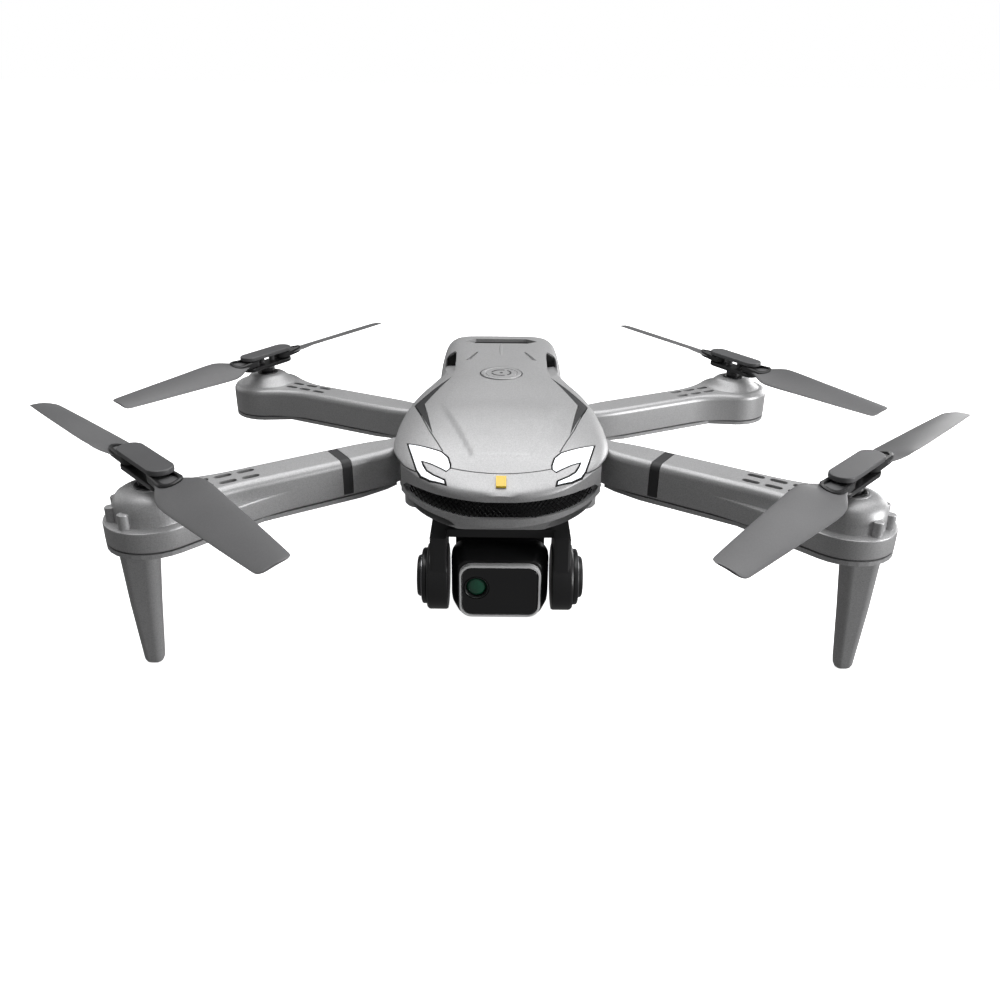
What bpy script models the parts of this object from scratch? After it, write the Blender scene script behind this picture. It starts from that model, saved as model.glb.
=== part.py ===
"""Folding quadcopter drone with a tilting camera, as an assembly of separate pieces.

All sizes below are millimetres, and finish() brings each mesh to metres. The frame has +Z up, the nose
points along -Y, and the drone's own left side is +X. Y is measured from the middle of the hull, and finish()
moves it to the middle of the whole drone, so that the origin is under it, level with the feet.
"""

import math

import bmesh
import bpy
from mathutils import Matrix, Vector

MM = 0.001
GAP = 0.3
MIDDLE_Y = 3.0

# Heights that everything else hangs on.
FRONT_PROP_Z = 56.5
REAR_PROP_Z = 46.5
RIM_Z = 49.2
DECK_Z = 36.0
BELLY_Z = 22.5

# Hull outline in plan.
NOSE_Y = -62.4
NOSE_CENTRE_Y = -30.0
HULL_HALF_WIDTH = 31.5
TAIL_Y = 63.5
HULL_WALL = 1.6
FASCIA_WALL = 3.0
PANEL_Y = -54.7
FASCIA_BACK_Y = -44.0
FASCIA_BOTTOM = 37.9

# Arms: hinge axis and rotor axis in plan, on the +X side.
FRONT_PIVOT = Vector((25.5, -23.6))
FRONT_ROTOR = Vector((90.7, -66.75))
REAR_PIVOT = Vector((24.0, 33.0))
REAR_ROTOR = Vector((92.4, 66.75))
FRONT_ARM_TOP = 48.7
FRONT_ARM_BOTTOM = 37.9
REAR_ARM_TOP = 37.4
REAR_ARM_BOTTOM = 27.0
ARM_HALF_WIDTH = 6.2
KNUCKLE_RADIUS = 6.0
KNUCKLE_NECK = 4.9
CAVITY_NECK = 3.4
CAVITY_START = 9.0
FRONT_POD_RADIUS = 9.8
FRONT_SKIRT_RADIUS = 12.6
FRONT_SKIRT_TOP = 43.6
REAR_POD_RADIUS = 13.2
ARM_WALL = 1.5
COVER_THICKNESS = 1.2
PIN_RADIUS = 1.8
BAND_DISTANCE = 25.8
BAND_WIDTH = 2.8

# Rotors: the blades hinge at both ends of a clamp, and the cap's bearing is measured from outboard to aft.
BLADE_REACH = 68.4
BLADE_PIVOT = 8.6
FRONT_CAP_BEARING = math.radians(46.7)
REAR_CAP_BEARING = math.radians(122.4)
BLADE_TIP_PITCH = math.radians(12)
BLADE_ROOT_PITCH = math.radians(20)
FRONT_BLADE_SWING = math.radians(2.4)
CAP_RADIUS = 3.5
CAP_TOP = 3.0
PLATE_THICKNESS = 1.5

# Camera and its yoke.
TILT_Y = -48.0
TILT_Z = 14.8
YOKE_INNER_X = 14.9
YOKE_OUTER_X = 21.0
YOKE_ARM_OUTER_X = 20.0
YOKE_RADIUS = 9.8
FACE_Y = -56.0
FACE_HALF_WIDTH = 11.7
FACE_HALF_HEIGHT = 8.5
FACE_Z = 14.0

# Power button and battery.
BUTTON_Y = 9.2
BUTTON_RADIUS = 6.7
BATTERY_HALF_WIDTH = 14.0
BATTERY_FRONT_Y = 3.0
BATTERY_BOTTOM = 25.2
BATTERY_TOP = 42.0

for old in list(bpy.data.objects):
    bpy.data.objects.remove(old)


# ---------------------------------------------------------------- materials

def plastic(name, colour, roughness, metallic=0.0):
    """A plain Principled material."""
    material = bpy.data.materials.new(name)
    material.use_nodes = True
    shader = material.node_tree.nodes["Principled BSDF"]
    shader.inputs["Base Color"].default_value = (*colour, 1.0)
    shader.inputs["Roughness"].default_value = roughness
    shader.inputs["Metallic"].default_value = metallic
    return material


SILVER = plastic("silver_paint", (0.56, 0.56, 0.57), 0.38, 0.35)
BLADE_GREY = plastic("blade_grey", (0.13, 0.13, 0.14), 0.45)
CAP_GREY = plastic("cap_grey", (0.05, 0.05, 0.055), 0.4)
BLACK = plastic("black_plastic", (0.012, 0.012, 0.013), 0.38)
GLOSS_BLACK = plastic("gloss_black", (0.006, 0.006, 0.007), 0.12)
LAMP_WHITE = plastic("lamp_white", (0.92, 0.94, 0.96), 0.2)
BADGE_YELLOW = plastic("badge_yellow", (0.85, 0.62, 0.05), 0.35)
INLAY_DARK = plastic("inlay_dark", (0.03, 0.03, 0.033), 0.5)
STEEL = plastic("steel", (0.6, 0.6, 0.62), 0.3, 1.0)
BOARD_GREEN = plastic("board_green", (0.03, 0.13, 0.07), 0.5)
BUTTON_GREY = plastic("button_grey", (0.45, 0.45, 0.46), 0.4, 0.3)
TRIM_WHITE = plastic("trim_white", (0.85, 0.85, 0.86), 0.3)
LENS_GLASS = plastic("lens_glass", (0.02, 0.07, 0.05), 0.05)


# ---------------------------------------------------------------- shape helpers

def loft(sections):
    """A closed solid through loops of points that all have the same number of corners."""
    bm = bmesh.new()
    loops = [[bm.verts.new(point) for point in section] for section in sections]
    count = len(loops[0])
    for near, far in zip(loops, loops[1:]):
        for i in range(count):
            j = (i + 1) % count
            bm.faces.new((near[i], near[j], far[j], far[i]))
    bm.faces.new(loops[0])
    bm.faces.new(loops[-1])
    bmesh.ops.recalc_face_normals(bm, faces=bm.faces)
    return bm


def prism(outline, low, high):
    """An outline in plan, extruded from one height to another."""
    return loft([[(x, y, z) for x, y in outline] for z in (low, high)])


def block(low, high):
    """A box between two corners."""
    (x0, y0, z0), (x1, y1, z1) = low, high
    return prism([(x0, y0), (x1, y0), (x1, y1), (x0, y1)], z0, z1)


def ring_points(centre, radius, count=24):
    """Points round a circle, counter-clockwise."""
    angles = [math.tau * i / count for i in range(count)]
    return [(centre[0] + radius * math.cos(a), centre[1] + radius * math.sin(a)) for a in angles]


def post(centre, radius, low, high, count=24):
    """An upright cylinder."""
    return prism(ring_points(centre, radius, count), low, high)


def turned(centre, rings, count=24):
    """An upright turned solid: rings are (radius, height) from the bottom up."""
    return loft([[(x, y, z) for x, y in ring_points(centre, r, count)] for r, z in rings])


def turned_on_x(centre, rings, count=28):
    """A turned solid on an axis along X: rings are (radius, x)."""
    _, y0, z0 = centre
    return loft([[(x, y0 + y, z0 + z) for y, z in ring_points((0, 0), r, count)] for r, x in rings])


def stadium(half_length, radius, count=8):
    """A stadium along X, counter-clockwise."""
    right = [(half_length + radius * math.cos(a), radius * math.sin(a)) for a in arc(-90, 90, count)]
    return right + [(-x, -y) for x, y in right]


def arc(start, end, count):
    """Angles in radians from start to end degrees."""
    return [math.radians(start + (end - start) * i / count) for i in range(count + 1)]


def rounded_box_outline(half_width, half_height, radius, count=4):
    """A rectangle with round corners, counter-clockwise."""
    points = []
    for turn, (sx, sy) in enumerate(((1, 1), (-1, 1), (-1, -1), (1, -1))):
        for angle in arc(turn * 90, turn * 90 + 90, count):
            across = sx * (half_width - radius) + radius * math.cos(angle)
            up = sy * (half_height - radius) + radius * math.sin(angle)
            points.append((across, up))
    return points


def bevelled(bm, width, chosen, segments=2):
    """Rounds the edges that a test picks by their two ends."""
    edges = [e for e in bm.edges if chosen(e.verts[0].co, e.verts[1].co)]
    bmesh.ops.bevel(
        bm, geom=edges, offset=width, segments=segments, affect="EDGES", profile=0.5, clamp_overlap=True
    )
    return bm


def moved(bm, matrix):
    """Moves a mesh, and turns its faces back out after a mirror."""
    bmesh.ops.transform(bm, matrix=matrix, verts=bm.verts)
    if matrix.determinant() < 0:
        bmesh.ops.reverse_faces(bm, faces=bm.faces)
    return bm


def along_table(table, y):
    """The value at a position, between the two nearest (position, value) rows."""
    if y <= table[0][0]:
        return table[0][1]
    for (y0, v0), (y1, v1) in zip(table, table[1:]):
        if y <= y1:
            return v0 + (v1 - v0) * (y - y0) / (y1 - y0)
    return table[-1][1]


# ---------------------------------------------------------------- objects

def body(name, x=0.0, y=0.0, z=0.0):
    """An empty on a joint's axis, which the body's pieces hang from."""
    empty = bpy.data.objects.new(name, None)
    empty.location = Vector((x, y - MIDDLE_Y, z)) * MM
    bpy.context.scene.collection.objects.link(empty)
    return empty


def finish(bm, name, material, parent, helper=False):
    """Makes an object from a mesh in world millimetres and hangs it on its body."""
    bmesh.ops.translate(bm, vec=(0, -MIDDLE_Y, 0), verts=bm.verts)
    bmesh.ops.scale(bm, vec=(MM, MM, MM), verts=bm.verts)
    bmesh.ops.translate(bm, vec=-parent.location, verts=bm.verts)
    mesh = bpy.data.meshes.new(name)
    bm.to_mesh(mesh)
    bm.free()
    mesh.materials.append(material)
    mesh.shade_smooth()
    mesh.set_sharp_from_angle(angle=math.radians(30))
    piece = bpy.data.objects.new(name, mesh)
    piece.parent = parent
    bpy.context.scene.collection.objects.link(piece)
    if helper:
        piece.hide_render = True
        piece.display_type = "WIRE"
    return piece


def boolean(piece, operation, *meshes):
    """Cuts or joins helper shapes, each given as a mesh in world millimetres."""
    for number, bm in enumerate(meshes):
        name = f"{piece.name}_{operation.lower()}_{len(piece.modifiers) + number}"
        tool = finish(bm, name, piece.data.materials[0], piece.parent, helper=True)
        modifier = piece.modifiers.new(name, "BOOLEAN")
        modifier.operation = operation
        modifier.solver = "MANIFOLD"
        modifier.object = tool
    return piece


# ---------------------------------------------------------------- hull surface

WIDTHS = [
    (-30, 31.5), (-20, 31.3), (-10, 30.4), (0, 28.8), (8, 26.6), (15, 23.6), (21, 21.2), (28, 21.4), (40, 21.6),
    (52, 21.4), (59, 21.0), (62, 20.2), (TAIL_Y, 18.5),
]
CROWNS = [
    (NOSE_Y, 47.2), (-61, 48.4), (-58, 49.5), (-54.7, 50.3), (-47, 52.5), (-40, 54.1), (-30, 55.9), (-20, 57.3),
    (-10, 58.2), (0, 58.8), (9, 59.1), (35, 59.0), (50, 58.5), (58, 58.0), (61.5, 56.5), (TAIL_Y, 53.5),
]
EDGES = [(NOSE_Y, 45.5), (-56, 47.2), (FASCIA_BACK_Y, 49.6), (TAIL_Y, 49.6)]
SHOULDERS = [(10, 2.6), (24, 4.5)]
STATIONS = [
    NOSE_Y, -61.6, -60, -57.5, PANEL_Y, -51, -47, FASCIA_BACK_Y, -38, -30, -20, -10, 0, 9, 15, 21, 28, 40, 52, 59,
    62, TAIL_Y,
]
PROFILE_STEPS = 7


def hull_half_width(y):
    """Half the hull's width in plan: an ellipse round the nose, then the shoulder, waist and tail."""
    if y < NOSE_CENTRE_Y:
        reach = (NOSE_CENTRE_Y - y) / (NOSE_CENTRE_Y - NOSE_Y + 0.25)
        return HULL_HALF_WIDTH * math.sqrt(1 - reach * reach)
    return along_table(WIDTHS, y)


def hull_section(y, inset, bottom):
    """One section of the hull across Y: straight sides and a crowned top."""
    half = hull_half_width(y) - inset
    crown = along_table(CROWNS, y) - inset
    edge = min(along_table(EDGES, y), crown - 0.5)
    points = [(-half, y, bottom)]
    for i in range(-PROFILE_STEPS, PROFILE_STEPS + 1):
        across = math.sin(math.pi / 2 * i / PROFILE_STEPS)
        fall = math.sqrt(1 - abs(across) ** along_table(SHOULDERS, y))
        points.append((half * across, y, edge + (crown - edge) * fall))
    points.append((half, y, bottom))
    return points


def hull_solid(inset, bottom):
    """The hull above a height, as a solid set in from the outer skin."""
    ends = (NOSE_Y + inset, TAIL_Y - inset)
    stations = [y for y in STATIONS if ends[0] + 0.4 < y < ends[1] - 0.4]
    return loft([hull_section(y, inset, bottom) for y in (ends[0], *stations, ends[1])])


# ---------------------------------------------------------------- airframe

airframe = body("airframe")
FAR = 200.0

upper_shell = finish(hull_solid(0, DECK_Z), "upper_shell", SILVER, airframe)
boolean(
    upper_shell,
    "DIFFERENCE",
    hull_solid(HULL_WALL, DECK_Z - 4),
    block((-FAR, -FAR, 0), (FAR, FAR, RIM_Z)),
    block((-FAR, -FAR, 0), (FAR, PANEL_Y + GAP / 2, FAR)),
    post((0, BUTTON_Y), BUTTON_RADIUS + GAP, RIM_Z, 70),
)

nose_bumper = finish(hull_solid(0, FASCIA_BOTTOM), "nose_bumper", SILVER, airframe)
boolean(
    nose_bumper,
    "DIFFERENCE",
    hull_solid(FASCIA_WALL, DECK_Z - 4),
    block((-FAR, FASCIA_BACK_Y - GAP / 2, 0), (FAR, FAR, FAR)),
    block((-FAR, PANEL_Y - GAP / 2, RIM_Z - GAP), (FAR, FAR, FAR)),
    block((-27.0, -FAR, 40.2), (27.0, -46.5, 45.3)),
)

# The grille is a curved strip just behind the opening in the bumper.
GRILLE_BEHIND = FASCIA_WALL + GAP
GRILLE_THICKNESS = 1.2


def nose_arc(inset, reach=28.0, count=14):
    """Points of the nose outline, set in from the skin."""
    points = []
    for i in range(-count, count + 1):
        x = reach * math.sin(math.pi / 2 * i / count)
        depth = math.sqrt(1 - (x / HULL_HALF_WIDTH) ** 2)
        points.append((x * (1 - inset / HULL_HALF_WIDTH), NOSE_CENTRE_Y + (NOSE_Y - NOSE_CENTRE_Y + inset) * depth))
    return points


finish(
    prism(nose_arc(GRILLE_BEHIND) + nose_arc(GRILLE_BEHIND + GRILLE_THICKNESS)[::-1], 39.2, 45.8),
    "grille",
    BLACK,
    airframe,
)

# Belly tub: an open tray under the hull, set in and raised at the nose, with taller walls round the tail.
BELLY = [(-57, 34.6), (-50, 33.0), (-42, 31.2), (-33, 31.0), (-27, 24.5), (-23, BELLY_Z), (56, BELLY_Z), (TAIL_Y, 25.0)]
TUB_INSETS = [(-57, 3.2), (-36, 3.2), (-29, 0.6), (-20, 0.0)]
TUB_STATIONS = (-54, -50, -42, -36, -33, -30, -27, -23, -10, 0, 8, 15, 21, 28, 52, 59, 62)
FLOOR_WALL = 1.7
TUB_TOP = DECK_Z - GAP
NOSE_WALL_BACK_Y = -45.0
TAIL_WALL_FRONT_Y = 13.0
TUB_NOSE_Y = -57.0


def tub_section(y, inset, top):
    """One section of the tub across Y: upright sides, turned in to a flat floor."""
    half = hull_half_width(y) - along_table(TUB_INSETS, y) - inset
    floor = along_table(BELLY, y) + inset
    flat = max(half * 0.8, half - 6)
    turn_in = min(floor + 5, TUB_TOP - 0.8)
    right = [(half, y, top), (half, y, turn_in), (flat, y, floor)]
    return right + [(-x, y, z) for x, y, z in right[::-1]]


def tub_solid(inset, top, start, end):
    """The tub from one station to another, as a solid set in from the outer skin."""
    stations = [start, *[y for y in TUB_STATIONS if start < y < end], end]
    return loft([tub_section(y, inset, top) for y in stations])


def mirrored(make):
    """The same shape on both sides: the makers take +1 or -1."""
    return [make(side) for side in (1, -1)]


def rear_arm_slot(side):
    """The opening that a rear arm leaves by."""
    x0, x1 = sorted((side * 16.8, side * 40))
    return block((x0, 17.5, REAR_ARM_BOTTOM - COVER_THICKNESS - 0.9), (x1, 46.5, REAR_ARM_TOP + 0.7))


lower_shell = finish(tub_solid(0, TUB_TOP, TUB_NOSE_Y, TAIL_Y), "lower_shell", SILVER, airframe)
boolean(
    lower_shell,
    "UNION",
    tub_solid(0, RIM_Z - GAP, TAIL_WALL_FRONT_Y, TAIL_Y),
    tub_solid(0, FASCIA_BOTTOM - GAP, TUB_NOSE_Y, NOSE_WALL_BACK_Y),
)
boolean(
    lower_shell,
    "DIFFERENCE",
    tub_solid(FLOOR_WALL, FASCIA_BOTTOM + 2, TUB_NOSE_Y + FLOOR_WALL, TAIL_Y - FLOOR_WALL),
    tub_solid(FLOOR_WALL, RIM_Z + 2, TAIL_WALL_FRONT_Y - 3, TAIL_Y - FLOOR_WALL),
    block((-BATTERY_HALF_WIDTH - 0.5, 55, BATTERY_BOTTOM - 0.4), (BATTERY_HALF_WIDTH + 0.5, 70, BATTERY_TOP + 0.4)),
    *mirrored(rear_arm_slot),
)
boolean(
    lower_shell,
    "UNION",
    *mirrored(lambda side: post((side * FRONT_PIVOT.x, FRONT_PIVOT.y), 4.2, BELLY_Z + 1, 35.2, 16)),
)
boolean(
    lower_shell,
    "DIFFERENCE",
    *mirrored(lambda side: post((side * FRONT_PIVOT.x, FRONT_PIVOT.y), PIN_RADIUS + 0.35, BELLY_Z + 4, 40, 12)),
)

# Two steel pins a side, which the arms turn on.
for side, word in ((1, "left"), (-1, "right")):
    front_pin = post((side * FRONT_PIVOT.x, FRONT_PIVOT.y), PIN_RADIUS, BELLY_Z + 5, 50.3, 12)
    rear_pin = post((side * REAR_PIVOT.x, REAR_PIVOT.y), PIN_RADIUS, BELLY_Z + FLOOR_WALL + GAP, 40.0, 12)
    finish(front_pin, f"hinge_pin_front_{word}", STEEL, airframe)
    finish(rear_pin, f"hinge_pin_rear_{word}", STEEL, airframe)

finish(block((-15, -40, 41.5), (15, -2, 42.9)), "main_board", BOARD_GREEN, airframe)

# Headlights sit in pockets at the front corners of the hull, and the hood and bumper are cut back round them.
LAMP_OUTLINE = [
    (26.6, -38.5), (15.0, -46.8), (14.2, -52.0), (15.4, -57.2), (21.0, -53.4), (24.6, -49.8), (27.8, -42.5),
]
LAMP_DEPTH = 1.2


def on_hull(x, y):
    """The height of the hull's skin."""
    half = hull_half_width(y)
    crown = along_table(CROWNS, y)
    edge = min(along_table(EDGES, y), crown - 0.5)
    return edge + (crown - edge) * math.sqrt(1 - min(1.0, abs(x) / half) ** along_table(SHOULDERS, y))


def skin_patch(outline, side, lift, depth):
    """A plate that follows the skin: its outline is in plan, on the +X side."""
    points = [(side * x, y) for x, y in outline]
    top = [(x, y, on_hull(x, y) + lift) for x, y in points]
    bottom = [(x, y, on_hull(x, y) - depth) for x, y in points]
    return loft([bottom, top])


def grown(outline, by):
    """An outline with every side pushed out by the same distance."""
    points = [Vector(p) for p in outline]
    area = sum(a.x * b.y - b.x * a.y for a, b in zip(points, points[1:] + points[:1]))
    if area < 0:
        by = -by
    result = []
    for before, here, after in zip(points[-1:] + points[:-1], points, points[1:] + points[:1]):
        first, second = (here - before).normalized(), (after - here).normalized()
        normal_1, normal_2 = Vector((first.y, -first.x)), Vector((second.y, -second.x))
        bisector = (normal_1 + normal_2).normalized()
        result.append(tuple(here + bisector * by / max(0.4, bisector.dot(normal_1))))
    return result


CHEVRON = [(16.4, 9.5), (27.0, -9.6), (25.8, -17.0), (19.6, -35.2), (23.0, -10.8), (20.5, -4.0)]
INLAY_DEPTH = 1.2

for side, word in ((1, "left"), (-1, "right")):
    for shell, depth in ((upper_shell, LAMP_DEPTH + 3), (nose_bumper, LAMP_DEPTH + GAP)):
        boolean(shell, "DIFFERENCE", skin_patch(grown(LAMP_OUTLINE, GAP + 0.15), side, 6, depth))
    finish(skin_patch(LAMP_OUTLINE, side, 0, LAMP_DEPTH), f"headlight_{word}", LAMP_WHITE, airframe)
    boolean(upper_shell, "DIFFERENCE", skin_patch(grown(CHEVRON, GAP), side, 6, INLAY_DEPTH + 3))
    finish(skin_patch(CHEVRON, side, 0, INLAY_DEPTH), f"accent_inlay_{word}", INLAY_DARK, airframe)

# A plain badge on the front panel, just proud of the bumper.
badge_plan = [(-1.4, -60.6), (1.4, -60.6), (1.4, -56.6), (-1.4, -56.6)]
badge = loft([[(x, y, on_hull(x, y) + lift) for x, y in badge_plan] for lift in (0.3, 0.8)])
finish(badge, "nose_badge", BADGE_YELLOW, airframe)

# ---------------------------------------------------------------- power button

power_button = body("power_button_axis", 0, BUTTON_Y, 57)
button_rings = [(3.0, 53.8), (3.0, 56.2), (BUTTON_RADIUS, 56.4), (BUTTON_RADIUS, 59.0), (BUTTON_RADIUS - 0.4, 59.3)]
finish(turned((0, BUTTON_Y), button_rings), "power_button", BUTTON_GREY, power_button)

# ---------------------------------------------------------------- battery

battery_body = body("battery_axis", 0, BATTERY_FRONT_Y, BATTERY_BOTTOM)
pack_outline = rounded_box_outline(BATTERY_HALF_WIDTH, (BATTERY_TOP - BATTERY_BOTTOM) / 2, 2.5)
pack_middle = (BATTERY_TOP + BATTERY_BOTTOM) / 2
pack = loft([[(x, y, pack_middle + z) for x, z in pack_outline] for y in (BATTERY_FRONT_Y, TAIL_Y - 0.2)])
finish(pack, "battery_pack", INLAY_DARK, battery_body)

# ---------------------------------------------------------------- gimbal yoke

YOKE_BRIDGE_TOP = 30.4
YOKE_BRIDGE_BOTTOM = 28.0
YOKE_BACK_Y = -36.2


def yoke_pod(side):
    """The round end of a cheek, on the tilt axis."""
    return turned_on_x((0, TILT_Y, TILT_Z), [(YOKE_RADIUS, side * YOKE_INNER_X), (YOKE_RADIUS, side * YOKE_OUTER_X)])


def yoke_arm(side):
    """The flat arm that a cheek hangs by."""
    x0, x1 = sorted((side * YOKE_INNER_X, side * YOKE_ARM_OUTER_X))
    low, high, half_low, half_high = TILT_Z, YOKE_BRIDGE_TOP, 8.6, 6.5
    outline = [(-half_low, low), (half_low, low), (half_high, high), (-half_high, high)]
    return loft([[(x, TILT_Y + y, z) for y, z in outline] for x in (x0, x1)])


yoke_bridge = block(
    (-YOKE_INNER_X - 1, TILT_Y - 1.0, YOKE_BRIDGE_BOTTOM), (YOKE_INNER_X + 1, YOKE_BACK_Y + 2.2, YOKE_BRIDGE_TOP)
)
yoke = finish(yoke_bridge, "gimbal_yoke", BLACK, airframe)
yoke_back = block((-13.4, YOKE_BACK_Y, 17.0), (13.4, YOKE_BACK_Y + 2.0, YOKE_BRIDGE_TOP - 0.4))
boolean(yoke, "UNION", yoke_back, *mirrored(yoke_arm), *mirrored(yoke_pod))
cap_steps = [(8.2, YOKE_OUTER_X + GAP), (8.2, 22.5), (5.9, 22.6), (5.9, 23.8), (5.3, 24.1)]
for side, word in ((1, "left"), (-1, "right")):
    cap = turned_on_x((0, TILT_Y, TILT_Z), [(r, side * x) for r, x in cap_steps])
    finish(cap, f"gimbal_cap_{word}", BLACK, airframe)

# ---------------------------------------------------------------- camera head

camera = body("camera_axis", 0, TILT_Y, TILT_Z)


def head_section(y, half_width, half_height, radius, middle=TILT_Z):
    """A round-cornered section of the head across Y."""
    return [(x, y, middle + z) for x, z in rounded_box_outline(half_width, half_height, radius)]


HEAD_FRONT_Y = FACE_Y + 2.0
head = loft([
    head_section(HEAD_FRONT_Y, FACE_HALF_WIDTH + 0.5, FACE_HALF_HEIGHT + 0.4, 3.0, FACE_Z),
    head_section(HEAD_FRONT_Y + 2.5, 13.2, 9.2, 3.6, FACE_Z + 0.2),
    head_section(TILT_Y, 14.2, 9.9, 4.0),
    head_section(TILT_Y + 5.5, 14.0, 9.2, 4.0),
    head_section(TILT_Y + 8.8, 12.0, 6.4, 4.0),
])
camera_housing = finish(head, "camera_housing", BLACK, camera)
LENS_X = -6.7
LENS_Z = 15.2
LENS_RADIUS = 3.4


def along_y(centre_x, centre_z, rings, count=24):
    """A turned solid on an axis along Y: rings are (radius, y)."""
    return loft([[(centre_x + x, y, centre_z + z) for x, z in ring_points((0, 0), r, count)] for r, y in rings])


def face_frame(inset, y0, y1):
    """The camera's face outline set in by a distance, as a solid along Y."""
    half_width, half_height = FACE_HALF_WIDTH - inset, FACE_HALF_HEIGHT - inset
    return loft([head_section(y, half_width, half_height, 3.6 - inset * 0.5, FACE_Z) for y in (y0, y1)])


lens_bore = along_y(LENS_X, LENS_Z, [(LENS_RADIUS + 0.8, HEAD_FRONT_Y - 1), (LENS_RADIUS + 0.8, HEAD_FRONT_Y + 5)])
boolean(camera_housing, "DIFFERENCE", lens_bore)
camera_face = finish(face_frame(1.2, FACE_Y + 0.4, HEAD_FRONT_Y - GAP), "camera_face", GLOSS_BLACK, camera)
face_bore = along_y(LENS_X, LENS_Z, [(LENS_RADIUS + GAP, FACE_Y - 3), (LENS_RADIUS + GAP, FACE_Y + 6)])
boolean(camera_face, "DIFFERENCE", face_bore)
camera_trim = finish(face_frame(0, FACE_Y, HEAD_FRONT_Y - GAP), "camera_trim", TRIM_WHITE, camera)
boolean(camera_trim, "DIFFERENCE", face_frame(0.9, FACE_Y - 3, FACE_Y + 6))
barrel_tube = along_y(LENS_X, LENS_Z, [(LENS_RADIUS, FACE_Y), (LENS_RADIUS, HEAD_FRONT_Y + 4.5)])
barrel = finish(barrel_tube, "lens_barrel", BLACK, camera)
glass_seat = along_y(LENS_X, LENS_Z, [(LENS_RADIUS - 0.4, FACE_Y - 2), (LENS_RADIUS - 0.4, FACE_Y + 2.2)])
boolean(barrel, "DIFFERENCE", glass_seat)
glass = along_y(LENS_X, LENS_Z, [(1.3, FACE_Y - 0.3), (2.6, FACE_Y + 0.5), (2.6, FACE_Y + 1.8)])
finish(glass, "lens_glass", LENS_GLASS, camera)


# ---------------------------------------------------------------- arms

def arm_outline(length, knuckle, neck, pod_radius, flare, inset=0.0, start=None):
    """Plan of an arm along +X from its hinge: a round knuckle, a neck that widens, and a round pod.

    The sides leave the pod on a tangent and reach the arm's own width at the flare's distance from the rotor.
    With a start, the knuckle is left out and the outline begins square at that distance.
    """
    knuckle, half_width, pod_radius, neck = (v - inset for v in (knuckle, ARM_HALF_WIDTH, pod_radius, neck))
    lean = math.degrees(math.asin((pod_radius - half_width) / flare))
    side = [(length + pod_radius * math.cos(a), pod_radius * math.sin(a)) for a in arc(0, 90 + lean, 9)]
    side += [(length - flare, half_width), (22.0, half_width), (13.0, (half_width + neck) / 2)]
    if start is None:
        side += [(8.0, neck)]
        side += [(knuckle * math.cos(a), knuckle * math.sin(a)) for a in arc(62, 180, 8)]
        return side[1:] + [(x, -y) for x, y in side[-2:0:-1]] + [side[0]]
    side += [(start, neck)]
    return side[1:] + [(x, -y) for x, y in side[:0:-1]] + [side[0]]


def arm_frame(pivot, rotor, side):
    """The matrix from an arm's own frame to the world."""
    along = rotor - pivot
    turn = Matrix.Rotation(math.atan2(along.y, along.x), 4, "Z")
    place = Matrix.Translation((pivot.x, pivot.y, 0)) @ turn
    return Matrix.Diagonal((side, 1, 1, 1)) @ place


POD_FLARE = 15.0
SKIRT_FLARE = 27.0
SLOT_PITCH = 6.3
SLOT_LENGTH = 4.4
SLOT_WIDTH = 1.7


def vent_slots(length, top):
    """Two rows of three cooling slots through the top of an arm, next to its pod."""
    slots = []
    for row in (-2.2, 2.2):
        for number in range(3):
            x = length - 12.8 - number * SLOT_PITCH
            slot = [(x + px, row + py) for px, py in stadium((SLOT_LENGTH - SLOT_WIDTH) / 2, SLOT_WIDTH / 2, 3)]
            slots.append(prism(slot, top - 4, top + 4))
    return slots


def arm_levels(heights, pod_radius, skirt):
    """The arm's outside from the bottom up: height, pod radius, flare and inset. A skirt is a wider pod below."""
    bottom, top = heights
    upper = (pod_radius, POD_FLARE)
    levels = [(bottom, *upper, 0.0)]
    if skirt:
        wide = (skirt[0], SKIRT_FLARE)
        levels = [(bottom, *wide, 0.0), (skirt[1] - 0.8, *wide, 0.0), (skirt[1], skirt[0] - 0.7, SKIRT_FLARE, 0.0)]
        levels += [(skirt[1] + 0.3, *upper, 0.0)]
    return levels + [(top - 1.5, *upper, 0.0), (top - 0.45, *upper, 0.45), (top, *upper, 1.5)]


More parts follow.
